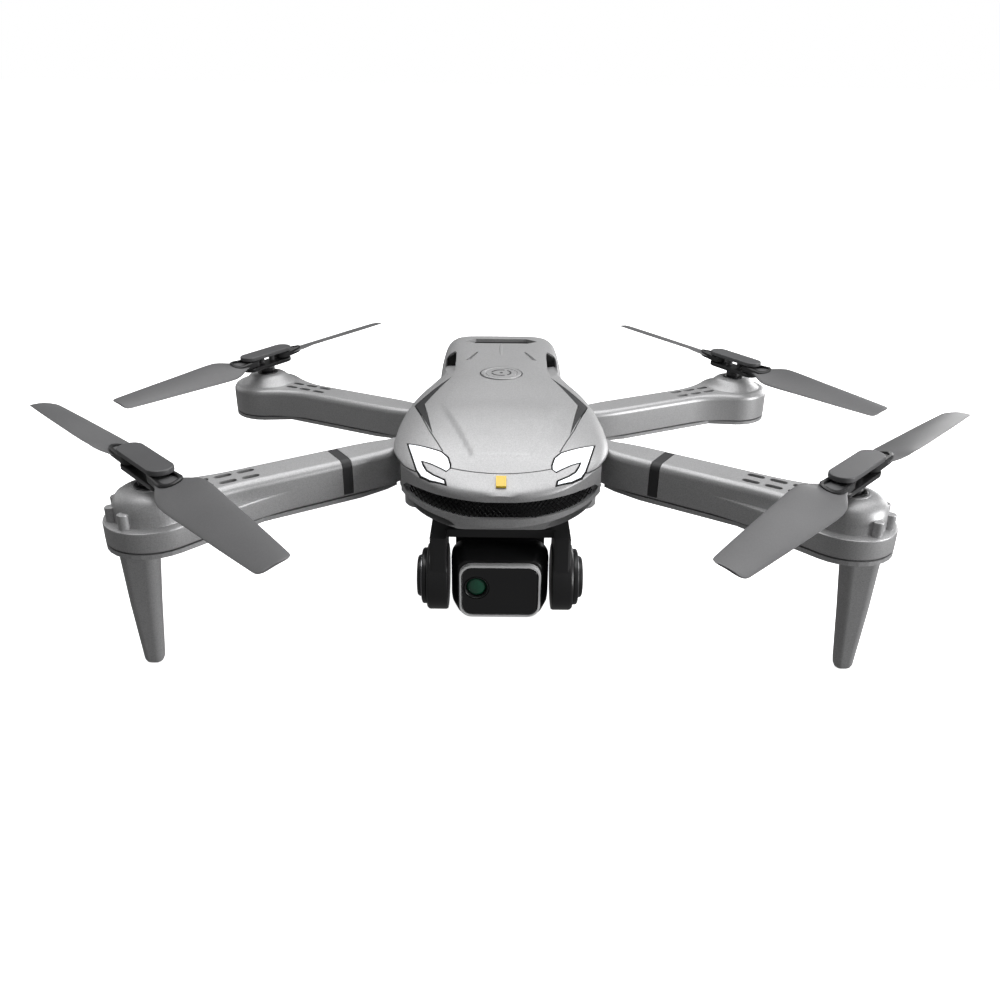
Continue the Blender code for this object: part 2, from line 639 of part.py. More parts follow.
def arm_set(word, pivot, rotor, side, heights, pod_radius, dome, prop_z, skirt):
    """An arm with its cover and motor. With a skirt (radius, top), also its band and landing leg.

    Heights are the arm's bottom and top. The dome is (radius, rise) of the pod's round top.
    """
    bottom, top = heights
    length = (rotor - pivot).length
    frame = arm_frame(pivot, rotor, side)
    hinge = body(f"arm_{word}_axis", side * pivot.x, pivot.y, bottom)
    centre = (side * rotor.x, rotor.y)
    dome_top = top + dome[1]
    lowest = (skirt[0], SKIRT_FLARE) if skirt else (pod_radius, POD_FLARE)

    sections = []
    for z, radius, flare, inset in arm_levels(heights, pod_radius, skirt):
        outline = arm_outline(length, KNUCKLE_RADIUS, KNUCKLE_NECK, radius, flare, inset)
        sections.append([(x, y, z) for x, y in outline])
    shell = finish(moved(loft(sections), frame), f"arm_shell_{word}", SILVER, hinge)
    rise = [(dome[0], top - 2), (dome[0], top + dome[1] * 0.35), (dome[0] * 0.88, top + dome[1] * 0.75)]
    boolean(shell, "UNION", turned(centre, [*rise, (dome[0] * 0.66, dome_top)]))

    hollow_levels = [(bottom - 2, *lowest), (top - 2.0, pod_radius, POD_FLARE)]
    if skirt:
        hollow_levels[1:1] = [(skirt[1] - ARM_WALL, *lowest), (skirt[1] - ARM_WALL + 0.3, pod_radius, POD_FLARE)]
    hollow = []
    for z, radius, flare in hollow_levels:
        outline = arm_outline(length, 0, CAVITY_NECK, radius, flare, ARM_WALL, CAVITY_START)
        hollow.append([(x, y, z) for x, y in outline])
    boolean(shell, "DIFFERENCE", moved(loft(hollow), frame))
    boolean(
        shell,
        "DIFFERENCE",
        post((side * pivot.x, pivot.y), PIN_RADIUS + 0.1 + GAP, bottom - 5, top + 5, 12),
        post(centre, 7.0, top - 3, dome_top - 2.2),
        post(centre, 2.9, top - 3, dome_top + 3, 16),
        *[moved(slot, frame) for slot in vent_slots(length, top)],
    )
    cover_outline = arm_outline(length, 0, CAVITY_NECK, *lowest, 0, CAVITY_START)
    cover = prism(cover_outline, bottom - GAP - COVER_THICKNESS, bottom - GAP)
    finish(moved(cover, frame), f"arm_cover_{word}", SILVER, hinge)
    motor = turned(centre, [(6.2, bottom + 0.4), (6.2, dome_top - 3.4), (2.4, dome_top - 3.0)], 20)
    finish(motor, f"motor_{word}", STEEL, hinge)

    if skirt:
        boolean(shell, "DIFFERENCE", moved(band_ring(top, bottom, 0.9, 3.0, BAND_WIDTH + 2 * GAP), frame))
        finish(moved(band_ring(top, bottom, 0.55, 0.0, BAND_WIDTH), frame), f"arm_band_{word}", INLAY_DARK, hinge)
        finish(leg(side, bottom - 2 * GAP - COVER_THICKNESS), f"landing_leg_{word}", SILVER, hinge)
    rotor_set(word, centre, side, prop_z, bool(skirt), dome_top)


def band_ring(top, bottom, depth, outside, width):
    """A strip over the top and down both sides of an arm, as deep as its groove allows."""
    half, low = ARM_HALF_WIDTH, bottom + 0.6
    out = [(half + outside, low), (half + outside, top - 1.6), (half - 1.6 + outside / 2, top + outside)]
    inn = [(half - depth, low), (half - depth, top - 1.9), (half - 2.0, top - depth)]
    outline = out + [(-y, z) for y, z in out[::-1]] + [(-y, z) for y, z in inn] + inn[::-1]
    return loft([[(x, y, z) for y, z in outline] for x in (BAND_DISTANCE - width / 2, BAND_DISTANCE + width / 2)])


# The leg's sections from the pod down: height, place in plan, and half width and half depth.
LEG_SECTIONS = [
    (20.0, 94.5, -71.8, 4.1, 2.7), (3.0, 95.2, -71.0, 2.8, 2.1), (0.8, 95.3, -71.0, 2.4, 1.8),
    (0.0, 95.3, -71.0, 1.5, 1.0),
]


def leg(side, top):
    """A flat tapered leg under the front pod, rounded at the foot."""
    sections = []
    for z, x, y, wide, deep in [(top, 93.6, -72.4, 5.2, 3.2), *LEG_SECTIONS]:
        outline = rounded_box_outline(wide, deep, min(wide, deep) * 0.8, 3)
        sections.append([(side * (x + px), y + py, z) for px, py in outline])
    return loft(sections)


# ---------------------------------------------------------------- rotors

BLADE_LENGTH = BLADE_REACH - BLADE_PIVOT
BLADE_STATIONS = [
    (5.5, 3.1, 1.9), (8.0, 4.6, 1.7), (11.5, 6.2, 1.5), (15.0, 6.5, 1.35), (28.0, 5.9, 1.1), (42.0, 5.2, 0.9),
    (BLADE_LENGTH - 2.2, 4.3, 0.7), (BLADE_LENGTH, 2.4, 0.6),
]


def blade(spin):
    """A blade along +X from its hinge. Spin is +1 where it turns counter-clockwise from above."""
    sections = []
    for x, half, thick in BLADE_STATIONS:
        along = (x - BLADE_STATIONS[0][0]) / (BLADE_LENGTH - BLADE_STATIONS[0][0])
        pitch = spin * (BLADE_ROOT_PITCH + (BLADE_TIP_PITCH - BLADE_ROOT_PITCH) * along) * min(1.0, x / 12)
        turn = Matrix.Rotation(pitch, 3, "X")
        low, high = -thick * 0.3, thick * 0.7
        loop = [(0, -half, 0), (0, -half * 0.5, low), (0, half * 0.5, low), (0, half, 0)]
        loop += [(0, half * 0.5, high), (0, -half * 0.5, high)]
        sections.append([tuple(Vector((x, 0, 0)) + turn @ Vector(p)) for p in loop])
    return loft(sections)


def rotor_set(word, centre, side, prop_z, front, seat):
    """A hub with its clamp cap and two folding blades."""
    bearing = FRONT_CAP_BEARING if front else REAR_CAP_BEARING
    azimuth = bearing if side > 0 else math.pi - bearing
    spin = side * (-1 if front else 1)
    hub = body(f"rotor_{word}_axis", *centre, prop_z)
    frame = Matrix.Translation((*centre, prop_z)) @ Matrix.Rotation(azimuth, 4, "Z")
    low_plate = prism(stadium(BLADE_PIVOT, CAP_RADIUS - 0.3), -1.4 - PLATE_THICKNESS, -1.4)
    base = finish(moved(low_plate, frame), f"hub_base_{word}", CAP_GREY, hub)
    boolean(base, "UNION", post(centre, 2.3, seat - 2.4, prop_z - 1.6, 16))
    boolean(base, "UNION", *[moved(post((end * BLADE_PIVOT, 0), 1.2, -1.6, 1.0, 12), frame) for end in (1, -1)])
    top_plate = prism(stadium(BLADE_PIVOT, CAP_RADIUS), CAP_TOP - PLATE_THICKNESS, CAP_TOP)
    bevelled(top_plate, 0.35, lambda a, b: min(a.z, b.z) > CAP_TOP - 0.01, 1)
    cap = finish(moved(top_plate, frame), f"hub_cap_{word}", CAP_GREY, hub)
    boolean(cap, "UNION", *[moved(post((end * 2.6, 0), 1.1, -1.1, CAP_TOP - 1, 10), frame) for end in (1, -1)])
    for end, letter in ((1, "a"), (-1, "b")):
        at = frame @ Vector((end * BLADE_PIVOT, 0, 0))
        swing = body(f"blade_{word}_{letter}_axis", *at)
        direction = azimuth + (0 if end > 0 else math.pi) - (side * end * FRONT_BLADE_SWING if front else 0)
        place = Matrix.Translation(at) @ Matrix.Rotation(direction, 4, "Z")
        wing = finish(moved(blade(spin), place), f"blade_{word}_{letter}", BLADE_GREY, swing)
        ring = stadium(2.6, 3.0, 6)
        boolean(wing, "UNION", moved(prism([(x + 2.6, y) for x, y in ring], -1.05, 1.05), place))
        boolean(wing, "DIFFERENCE", moved(post((0, 0), 1.2 + GAP, -3, 3, 12), place))


FRONT_HEIGHTS = (FRONT_ARM_BOTTOM, FRONT_ARM_TOP)
REAR_HEIGHTS = (REAR_ARM_BOTTOM, REAR_ARM_TOP)
FRONT_SKIRT = (FRONT_SKIRT_RADIUS, FRONT_SKIRT_TOP)
FRONT_DOME = (9.0, 2.9)
REAR_DOME = (9.5, 3.6)
for side, word in ((1, "left"), (-1, "right")):
    arm_set(f"front_{word}", FRONT_PIVOT, FRONT_ROTOR, side, FRONT_HEIGHTS, FRONT_POD_RADIUS, FRONT_DOME,
            FRONT_PROP_Z, FRONT_SKIRT)
    arm_set(f"rear_{word}", REAR_PIVOT, REAR_ROTOR, side, REAR_HEIGHTS, REAR_POD_RADIUS, REAR_DOME,
            REAR_PROP_Z, None)
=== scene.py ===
"""Folding quadcopter drone with a tilting camera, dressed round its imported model.

Sizes in the sections below are millimetres, with Y measured from the middle of the hull. place() turns them into the
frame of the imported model, in metres. The nose points along -Y, and the drone's own left side is +X.
"""

import math

import bpy
from mathutils import Matrix, Vector


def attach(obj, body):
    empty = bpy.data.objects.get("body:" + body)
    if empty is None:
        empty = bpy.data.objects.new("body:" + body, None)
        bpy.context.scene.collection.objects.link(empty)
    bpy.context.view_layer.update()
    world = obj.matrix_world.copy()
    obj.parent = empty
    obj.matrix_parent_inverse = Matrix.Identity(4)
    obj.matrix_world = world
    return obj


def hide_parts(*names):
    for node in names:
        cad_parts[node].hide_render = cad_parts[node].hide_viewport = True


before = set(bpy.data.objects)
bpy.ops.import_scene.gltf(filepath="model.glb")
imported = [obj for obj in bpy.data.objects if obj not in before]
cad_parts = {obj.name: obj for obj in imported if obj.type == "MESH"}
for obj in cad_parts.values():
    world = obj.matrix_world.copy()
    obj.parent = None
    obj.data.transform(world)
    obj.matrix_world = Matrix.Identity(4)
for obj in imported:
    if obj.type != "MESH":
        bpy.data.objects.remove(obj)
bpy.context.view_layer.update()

# ---------------------------------------------------------------- camera and studio
# A camera looks down on the nose from ahead. Two soft boxes stand low on the drone's left, a large one hangs overhead
# and a weak one fills in from the right. The floor is plain and pale, and the air behind it is white.

WATCHED = Vector((0.0, -0.003, 0.016986))
WATCHED_FROM = 0.3072558
LOOK_DOWN, LOOK_ASIDE, LEAN = 0.4368, 0.0043, 0.0115
LENS_LENGTH, SENSOR_WIDTH = 32.4, 36.0
AIM_AT = Vector((0, 0, 0.03))
AIR_LIGHT, AIR_SEEN = 0.16, 1.0

aside = Matrix.Rotation(-LOOK_ASIDE, 3, "Z")
ahead = aside @ Vector((0, math.cos(LOOK_DOWN), -math.sin(LOOK_DOWN)))
upright = aside @ Vector((0, math.sin(LOOK_DOWN), math.cos(LOOK_DOWN)))
rightward = aside @ Vector((1, 0, 0))
across = math.cos(LEAN) * rightward + math.sin(LEAN) * upright
upward = math.cos(LEAN) * upright - math.sin(LEAN) * rightward
turned = Matrix((across, upward, -ahead)).transposed().to_euler()
bpy.ops.object.select_all(action="DESELECT")
bpy.ops.object.camera_add(location=WATCHED - WATCHED_FROM * ahead, rotation=turned)
camera = bpy.context.active_object
camera.name = "camera"
camera.data.lens, camera.data.sensor_width = LENS_LENGTH, SENSOR_WIDTH
camera.data.clip_start, camera.data.clip_end = 0.01, 50.0
bpy.context.scene.camera = camera
bpy.context.scene.view_settings.view_transform = "Standard"

SOFT_BOXES = [
    ("left_soft_box", (0.66, -0.24, 0.11), 0.36, 4.4),
    ("left_rear_soft_box", (0.55, 0.50, 0.12), 0.40, 2.0),
    ("overhead_soft_box", (0.05, 0.12, 0.70), 0.90, 6.2),
    ("right_fill", (-0.70, 0.30, 0.30), 0.50, 0.5),
]
for name, position, size, power in SOFT_BOXES:
    aim = (AIM_AT - Vector(position)).to_track_quat("-Z", "Y").to_euler()
    bpy.ops.object.light_add(type="AREA", radius=size, location=position, rotation=aim)
    soft_box = bpy.context.active_object
    soft_box.name = name
    soft_box.data.shape, soft_box.data.size, soft_box.data.energy = "SQUARE", size, power

studio_air = bpy.data.worlds.new("studio_air")
bpy.context.scene.world = studio_air
studio_air.use_nodes = True
air_nodes, air_links = studio_air.node_tree.nodes, studio_air.node_tree.links
seen = air_nodes.new("ShaderNodeLightPath")
strength = air_nodes.new("ShaderNodeMapRange")
strength.inputs["To Min"].default_value, strength.inputs["To Max"].default_value = AIR_LIGHT, AIR_SEEN
air_nodes["Background"].inputs["Color"].default_value = (1, 1, 1, 1)
air_links.new(seen.outputs["Is Camera Ray"], strength.inputs["Value"])
air_links.new(strength.outputs["Result"], air_nodes["Background"].inputs["Strength"])

bpy.ops.object.select_all(action="DESELECT")
bpy.ops.mesh.primitive_plane_add(size=60)
floor = bpy.context.active_object
floor.name = "studio_floor"
floor_paint = bpy.data.materials.new("floor_paint")
floor_paint.use_nodes = True
floor_shader = floor_paint.node_tree.nodes["Principled BSDF"]
floor_shader.inputs["Base Color"].default_value = (0.93, 0.93, 0.93, 1)
floor_shader.inputs["Roughness"].default_value = 0.9
floor_shader.inputs["Emission Color"].default_value = (1, 1, 1, 1)
floor_shader.inputs["Emission Strength"].default_value = 0.9
floor.data.materials.append(floor_paint)
floor.visible_diffuse = floor.visible_glossy = False

# ---------------------------------------------------------------- hull skin
# The moulded top of the hull, which the hood, nose, lamps and inlays are all cut from, so that their surfaces meet.
# It is an injection-moulded shell sprayed with a satin silver lacquer that holds fine metal flake.

NOSE_Y, NOSE_CENTRE_Y, TAIL_Y, HULL_HALF_WIDTH = -62.4, -30.0, 63.5, 31.5
RIM_Z = 49.2
WIDTHS = [
    (-30, 31.5), (-20, 31.3), (-10, 30.4), (0, 28.8), (8, 26.6), (15, 23.6), (21, 21.2), (28, 21.4), (40, 21.6),
    (52, 21.4), (59, 21.0), (62, 20.2), (TAIL_Y, 18.5),
]
CROWNS = [
    (NOSE_Y, 47.2), (-61, 48.4), (-58, 49.5), (-54.7, 50.3), (-47, 52.5), (-40, 54.1), (-30, 55.9), (-20, 57.3),
    (-10, 58.2), (0, 58.8), (9, 59.1), (35, 59.1), (50, 59.0), (58, 58.8), (61.8, 57.4), (TAIL_Y, 54.0),
]
EDGES = [(NOSE_Y, 45.5), (-56, 47.2), (-44, 49.6), (TAIL_Y, 49.6)]
SHOULDERS = [(10, 2.6), (24, 4.5), (50, 7.0)]
EVEN_OUT = 2.5


def place(x, y, z):
    """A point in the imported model's frame, from millimetres about the middle of the hull."""
    return (x * 0.001, (y - 3.0) * 0.001, z * 0.001)


def along_table(table, y):
    """The value at a position, between the two nearest rows."""
    if y <= table[0][0]:
        return table[0][1]
    for (y0, v0), (y1, v1) in zip(table, table[1:]):
        if y <= y1:
            return v0 + (v1 - v0) * (y - y0) / (y1 - y0)
    return table[-1][1]


def faired(table, y):
    """The same with its corners eased, away from the two ends."""
    near = min(EVEN_OUT, (y - NOSE_Y) * 0.5, (TAIL_Y - y) * 0.5)
    return sum(along_table(table, y + near * step / 2) for step in (-2, -1, 0, 1, 2)) / 5


def eased(t):
    """Rises smoothly from 0 to 1."""
    t = min(1.0, max(0.0, t))
    return t * t * (3 - 2 * t)


def hood_step(x, y):
    """How far the middle of the hood stands proud: a soft step that fades out towards the button."""
    line_x = 8.3 + (y + 46.6) * 0.334
    inside = min((line_x - abs(x)) * 0.95, y + 47.6)
    return 0.55 * eased((inside + 0.45) / 1.1) * eased((-10 - y) / 18)


def hull_measures(y, inset=0.0):
    """Half width, crown height, edge height and shoulder shape of the hull's section across Y."""
    if y < NOSE_CENTRE_Y:
        reach = min(1.0, (NOSE_CENTRE_Y - y) / (NOSE_CENTRE_Y - NOSE_Y + 0.25))
        half = HULL_HALF_WIDTH * math.sqrt(1 - reach * reach) - inset
    else:
        half = faired(WIDTHS, y) - inset
    crown = faired(CROWNS, y) - inset
    return half, crown, min(faired(EDGES, y), crown - 0.5), along_table(SHOULDERS, y)


def skin_height(x, y):
    """The height of the hull's outer skin."""
    half, crown, edge, shoulder = hull_measures(y)
    return edge + (crown - edge) * math.sqrt(1 - min(1.0, abs(x) / half) ** shoulder) + hood_step(x, y)


def hull_loop(y, inset, bottom, steps):
    """One section of the hull across Y: upright sides and a crowned top."""
    half, crown, edge, shoulder = hull_measures(y, inset)
    loop = [(-half, y, bottom)]
    for i in range(-steps, steps + 1):
        sideways = math.sin(math.pi / 2 * i / steps)
        x, z = half * sideways, edge + (crown - edge) * math.sqrt(1 - abs(sideways) ** shoulder)
        loop.append((x, y, z + (hood_step(x, y) if inset == 0 else 0)))
    return loop + [(half, y, bottom)]


def wrapped(name, loops):
    """A closed skin pulled over a row of loops that all have the same number of corners."""
    round_it = len(loops[0])
    bpy.ops.object.select_all(action="DESELECT")
    bpy.ops.mesh.primitive_grid_add(x_subdivisions=round_it, y_subdivisions=len(loops) - 1, size=1)
    piece = bpy.context.active_object
    piece.name = piece.data.name = name
    for vertex in piece.data.vertices:
        row, column = divmod(vertex.index, round_it + 1)
        vertex.co = place(*loops[row][column % round_it])
    bpy.ops.object.mode_set(mode="EDIT")
    bpy.ops.mesh.select_all(action="SELECT")
    bpy.ops.mesh.remove_doubles(threshold=2e-6)
    bpy.ops.mesh.fill_holes(sides=0)
    bpy.ops.mesh.normals_make_consistent(inside=False)
    bpy.ops.object.mode_set(mode="OBJECT")
    return piece


def hull_blank(name, inset, bottom=30.0, steps=48, pitch=0.75):
    """The whole hull above a height as a solid, set in from the outer skin."""
    first, last = NOSE_Y + inset, TAIL_Y - inset
    count = round((last - first) / pitch)
    stations = [first + (last - first) * i / count for i in range(count + 1)]
    return wrapped(name, [hull_loop(y, inset, bottom, steps) for y in stations])


def raised(outline, *heights):
    """An outline in plan, as loops at some heights."""
    return [[(x, y, z) for x, y in outline] for z in heights]


def plate(name, outline, low, high):
    """An upright block: an outline in plan, between two heights."""
    return wrapped(name, raised(outline, low, high))


def slab(name, low, high):
    """A box between two corners."""
    (x0, y0, z0), (x1, y1, z1) = low, high
    return plate(name, [(x0, y0), (x1, y0), (x1, y1), (x0, y1)], z0, z1)


def cut(piece, tool, operation="DIFFERENCE", keep=False):
    """Cuts a piece with a tool, joins the tool to it, or leaves what the two share."""
    modifier = piece.modifiers.new("cut", "BOOLEAN")
    modifier.operation, modifier.solver, modifier.object = operation, "MANIFOLD", tool
    bpy.ops.object.select_all(action="DESELECT")
    bpy.context.view_layer.objects.active = piece
    bpy.ops.object.modifier_apply(modifier=modifier.name)
    if not keep:
        bpy.data.objects.remove(tool)
    return piece


def grown(outline, by):
    """An outline with every side pushed out by the same distance."""
    points = [Vector(point) for point in outline]
    area = sum(a.x * b.y - b.x * a.y for a, b in zip(points, points[1:] + points[:1]))
    by = math.copysign(by, area) if by > 0 else -math.copysign(by, area)
    result = []
    for before, here, after in zip(points[-1:] + points[:-1], points, points[1:] + points[:1]):
        first, second = (here - before).normalized(), (after - here).normalized()
        out_1, out_2 = Vector((first.y, -first.x)), Vector((second.y, -second.x))
        middle = (out_1 + out_2).normalized()
        result.append(tuple(here + middle * by / max(0.4, middle.dot(out_1))))
    return result


def fitted(piece, finish, slot, body, *stands_for):
    """Gives a finished piece its material, shades it, and fixes it to its body in place of the nodes it stands for."""
    piece.data.materials.clear()
    piece.data.materials.append(finish)
    bpy.ops.object.select_all(action="DESELECT")
    piece.select_set(True)
    bpy.context.view_layer.objects.active = piece
    bpy.ops.object.shade_smooth_by_angle(angle=math.radians(32))
    bpy.ops.object.modifier_add(type="WEIGHTED_NORMAL")
    piece.modifiers[-1].keep_sharp = True
    bpy.ops.object.modifier_apply(modifier=piece.modifiers[-1].name)
    piece.select_set(False)
    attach(piece, body)
    if stands_for:
        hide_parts(*stands_for)
    return piece


def coated(node, finish):
    """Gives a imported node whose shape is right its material."""
    for material_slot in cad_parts[node].material_slots:
        material_slot.material = finish


def effect_group(name, inputs, outputs):
    """An empty shader node group with its sockets, and its two end nodes."""
    group = bpy.data.node_groups.new(name, "ShaderNodeTree")
    for title, kind, value in inputs:
        group.interface.new_socket(name=title, in_out="INPUT", socket_type=kind).default_value = value
    for title, kind in outputs:
        group.interface.new_socket(name=title, in_out="OUTPUT", socket_type=kind)
    return group, group.nodes.new("NodeGroupInput"), group.nodes.new("NodeGroupOutput")


def wired(tree, *wires):
    """Joins sockets in a node tree: each wire says a node and its output, then the node and input that it feeds."""
    for source, output, target, entry in wires:
        tree.links.new(source.outputs[output], target.inputs[entry])


def preset(node, **values):
    """Sets inputs of a node, with _ for a space in their names."""
    for entry, value in values.items():
        node.inputs[entry.replace("_", " ")].default_value = value


# Moulded skin: slow drift of shade and sheen over a piece, and the fine spark-eroded grain of its mould.
moulded_skin, skin_in, skin_out = effect_group(
    "moulded_skin",
    [
        ("Shade", "NodeSocketColor", (0.5, 0.5, 0.5, 1)), ("Drifted Shade", "NodeSocketColor", (0.4, 0.4, 0.4, 1)),
        ("Grain Scale", "NodeSocketFloat", 4000.0), ("Sheen Low", "NodeSocketFloat", 0.3),
        ("Sheen High", "NodeSocketFloat", 0.4),
    ],
    [("Colour", "NodeSocketColor"), ("Roughness", "NodeSocketFloat"), ("Height", "NodeSocketFloat")],
)
skin_place = moulded_skin.nodes.new("ShaderNodeTexCoord")
drift = moulded_skin.nodes.new("ShaderNodeTexNoise")
preset(drift, Scale=38.0, Detail=3.0)
skin_grain = moulded_skin.nodes.new("ShaderNodeTexNoise")
preset(skin_grain, Detail=2.0)
drift_reach = moulded_skin.nodes.new("ShaderNodeMapRange")
preset(drift_reach, From_Min=0.3, From_Max=0.7)
skin_shade = moulded_skin.nodes.new("ShaderNodeMix")
skin_shade.data_type = "RGBA"
sheen_mix = moulded_skin.nodes.new("ShaderNodeMix")
rub = moulded_skin.nodes.new("ShaderNodeMath")
rub.operation = "MULTIPLY_ADD"
rub.inputs[1].default_value = 0.35
wired(
    moulded_skin,
    (skin_place, "Object", drift, "Vector"),
    (skin_place, "Object", skin_grain, "Vector"),
    (skin_in, "Grain Scale", skin_grain, "Scale"),
    (drift, "Fac", drift_reach, "Value"),
    (drift_reach, "Result", skin_shade, "Factor"),
    (skin_in, "Shade", skin_shade, "A"),
    (skin_in, "Drifted Shade", skin_shade, "B"),
    (skin_grain, "Fac", rub, 0),
    (drift_reach, "Result", rub, 2),
    (rub, "Value", sheen_mix, "Factor"),
    (skin_in, "Sheen Low", sheen_mix, "A"),
    (skin_in, "Sheen High", sheen_mix, "B"),
    (skin_shade, "Result", skin_out, "Colour"),
    (sheen_mix, "Result", skin_out, "Roughness"),
    (skin_grain, "Fac", skin_out, "Height"),
)

# Metal flake: tiny cells in the lacquer, some a little brighter and some a little darker than the rest.
metal_flake, flake_in, flake_out = effect_group(
    "metal_flake",
    [
        ("Base", "NodeSocketColor", (0.5, 0.5, 0.5, 1)), ("Flake Scale", "NodeSocketFloat", 5000.0),
        ("Flake Strength", "NodeSocketFloat", 0.1),
    ],
    [("Colour", "NodeSocketColor")],
)
flake_place = metal_flake.nodes.new("ShaderNodeTexCoord")
flake_cells = metal_flake.nodes.new("ShaderNodeTexVoronoi")
flake_value = metal_flake.nodes.new("ShaderNodeRGBToBW")
flake_blend = metal_flake.nodes.new("ShaderNodeMix")
flake_blend.data_type, flake_blend.blend_type = "RGBA", "OVERLAY"
wired(
    metal_flake,
    (flake_place, "Object", flake_cells, "Vector"),
    (flake_in, "Flake Scale", flake_cells, "Scale"),
    (flake_cells, "Color", flake_value, "Color"),
    (flake_in, "Flake Strength", flake_blend, "Factor"),
    (flake_in, "Base", flake_blend, "A"),
    (flake_value, "Val", flake_blend, "B"),
    (flake_blend, "Result", flake_out, "Colour"),
)


def skinned(name, shade, drifted, grain_scale, sheen):
    """A new finish with its colour and roughness from the moulded skin, as (finish, shader, skin)."""
    finish = bpy.data.materials.new(name)
    finish.use_nodes = True
    shader = finish.node_tree.nodes["Principled BSDF"]
    skin = finish.node_tree.nodes.new("ShaderNodeGroup")
    skin.node_tree = moulded_skin
    preset(skin, Shade=(*shade, 1), Drifted_Shade=(*drifted, 1), Grain_Scale=grain_scale)
    preset(skin, Sheen_Low=sheen[0], Sheen_High=sheen[1])
    wired(finish.node_tree, (skin, "Colour", shader, "Base Color"), (skin, "Roughness", shader, "Roughness"))
    return finish, shader, skin


def moulded(name, shade, drifted, grain_scale, sheen, grain_depth, metallic=0.0, coat=0.0, flake=0.0):
    """A moulded finish: drift of shade and sheen, mould grain, and metal flake where it is lacquered."""
    finish, shader, skin = skinned(name, shade, drifted, grain_scale, sheen)
    nodes = finish.node_tree.nodes
    if flake:
        flakes = nodes.new("ShaderNodeGroup")
        flakes.node_tree = metal_flake
        preset(flakes, Flake_Strength=flake)
        wired(finish.node_tree, (skin, "Colour", flakes, "Base"), (flakes, "Colour", shader, "Base Color"))
    bump = nodes.new("ShaderNodeBump")
    preset(bump, Strength=0.5, Distance=grain_depth)
    wired(finish.node_tree, (skin, "Height", bump, "Height"), (bump, "Normal", shader, "Normal"))
    preset(shader, Metallic=metallic, Coat_Weight=coat, Coat_Roughness=0.18)
    return finish


satin_silver = moulded(
    "satin_silver_lacquer", (0.47, 0.47, 0.475), (0.435, 0.435, 0.44), 5200, (0.37, 0.45), 0.00001, 0.4, 0.08, 0.16
)
hull_skin = hull_blank("hull_skin", 0)
hull_inside = hull_blank("hull_inside", 1.6, 26.0, 24, 2.0)

# ---------------------------------------------------------------- hood
# The top shell, from the nose panel line to the tail. It is one moulding, lacquered on the outside, clipped and
# screwed down on the lower shell from inside, with openings for the button, lamps, inlays, scoops and tail vent.

PANEL_LINE = [(0.0, -54.7), (3.7, -54.5), (7.4, -53.9), (10.8, -53.0), (13.7, -51.9), (14.6, -50.2), (19.5, -46.3)]
LAMP_CORNER = [(24.6, -42.2), (23.5, -46.6), (22.4, -50.8), (46.0, -50.8)]
LAMP_GLOW = [
    (26.4, -38.6), (20.7, -42.3), (16.9, -44.8), (15.0, -47.4), (14.2, -50.4), (14.2, -51.8), (15.0, -52.6),
    (16.5, -51.3), (19.3, -49.1), (22.4, -47.2), (21.8, -49.4), (20.6, -51.9), (18.6, -53.9), (15.5, -56.2),
    (15.3, -57.0), (19.2, -54.9), (21.8, -52.7), (23.1, -50.4), (24.1, -47.2), (25.4, -42.6),
]
CHEVRON = [(16.4, 9.5), (27.0, -9.6), (26.6, -11.6), (24.8, -18.0), (19.9, -34.6), (24.0, -12.4), (21.0, -3.6)]
TAIL_VENT = [(13.4, 49.6), (9.4, 52.8), (-9.4, 52.8), (-13.4, 49.6), (-9.6, 46.4), (9.6, 46.4)]
SCOOP = [(16.4, 11.5), (19.2, 15.5), (19.7, 24.0), (19.8, 37.0), (19.0, 38.8), (16.6, 38.8), (15.9, 36.5), (15.7, 17.0)]
GROOVE = [(27.3, -9.8), (25.9, -16.0), (21.4, -32.0), (16.6, -44.4)]
NOTCH, NOTCH_DEPTHS = [(12.4, 25.0), (10.3, 25.6), (8.0, 34.6), (8.9, 34.4)], (1.1, 0.05, 0.05, 0.6)
CLEAR_ABOVE = 70.0
BUTTON_Y, BUTTON_RADIUS = 9.2, 6.7
HAIRLINE, LAMP_EDGE = 0.4, 0.55


def hollow_hull(name):
    """The whole hull as a thin shell of its own, for a piece to be cut from."""
    shell = hull_skin.copy()
    shell.data = hull_skin.data.copy()
    shell.name = shell.data.name = name
    bpy.context.scene.collection.objects.link(shell)
    return cut(shell, hull_inside, keep=True)


def both_sides(outline, side):
    """An outline in plan, on the drone's left (side 1) or mirrored to its right (side -1)."""
    return [(side * x, y) for x, y in outline]


def round_points(centre, radius, count=48):
    """Points round a circle, counter-clockwise."""
    angles = [math.tau * i / count for i in range(count)]
    return [(centre[0] + radius * math.cos(a), centre[1] + radius * math.sin(a)) for a in angles]


def beyond_line(name, shift, far_y, low):
    """Everything on one side of the panel line, as a block from a height upwards."""
    line = [(x, y + shift) for x, y in PANEL_LINE + LAMP_CORNER]
    outline = [(-x, y) for x, y in line[:0:-1]] + line + [(46.0, far_y), (-46.0, far_y)]
    return plate(name, outline, low, 80.0)


def skin_tool(name, outline, depth):
    """A cutter with its outline in plan, whose bottom lies at a depth under the skin."""
    low = [(x, y, skin_height(x, y) - depth) for x, y in outline]
    return wrapped(name, [low, *raised(outline, CLEAR_ABOVE)])


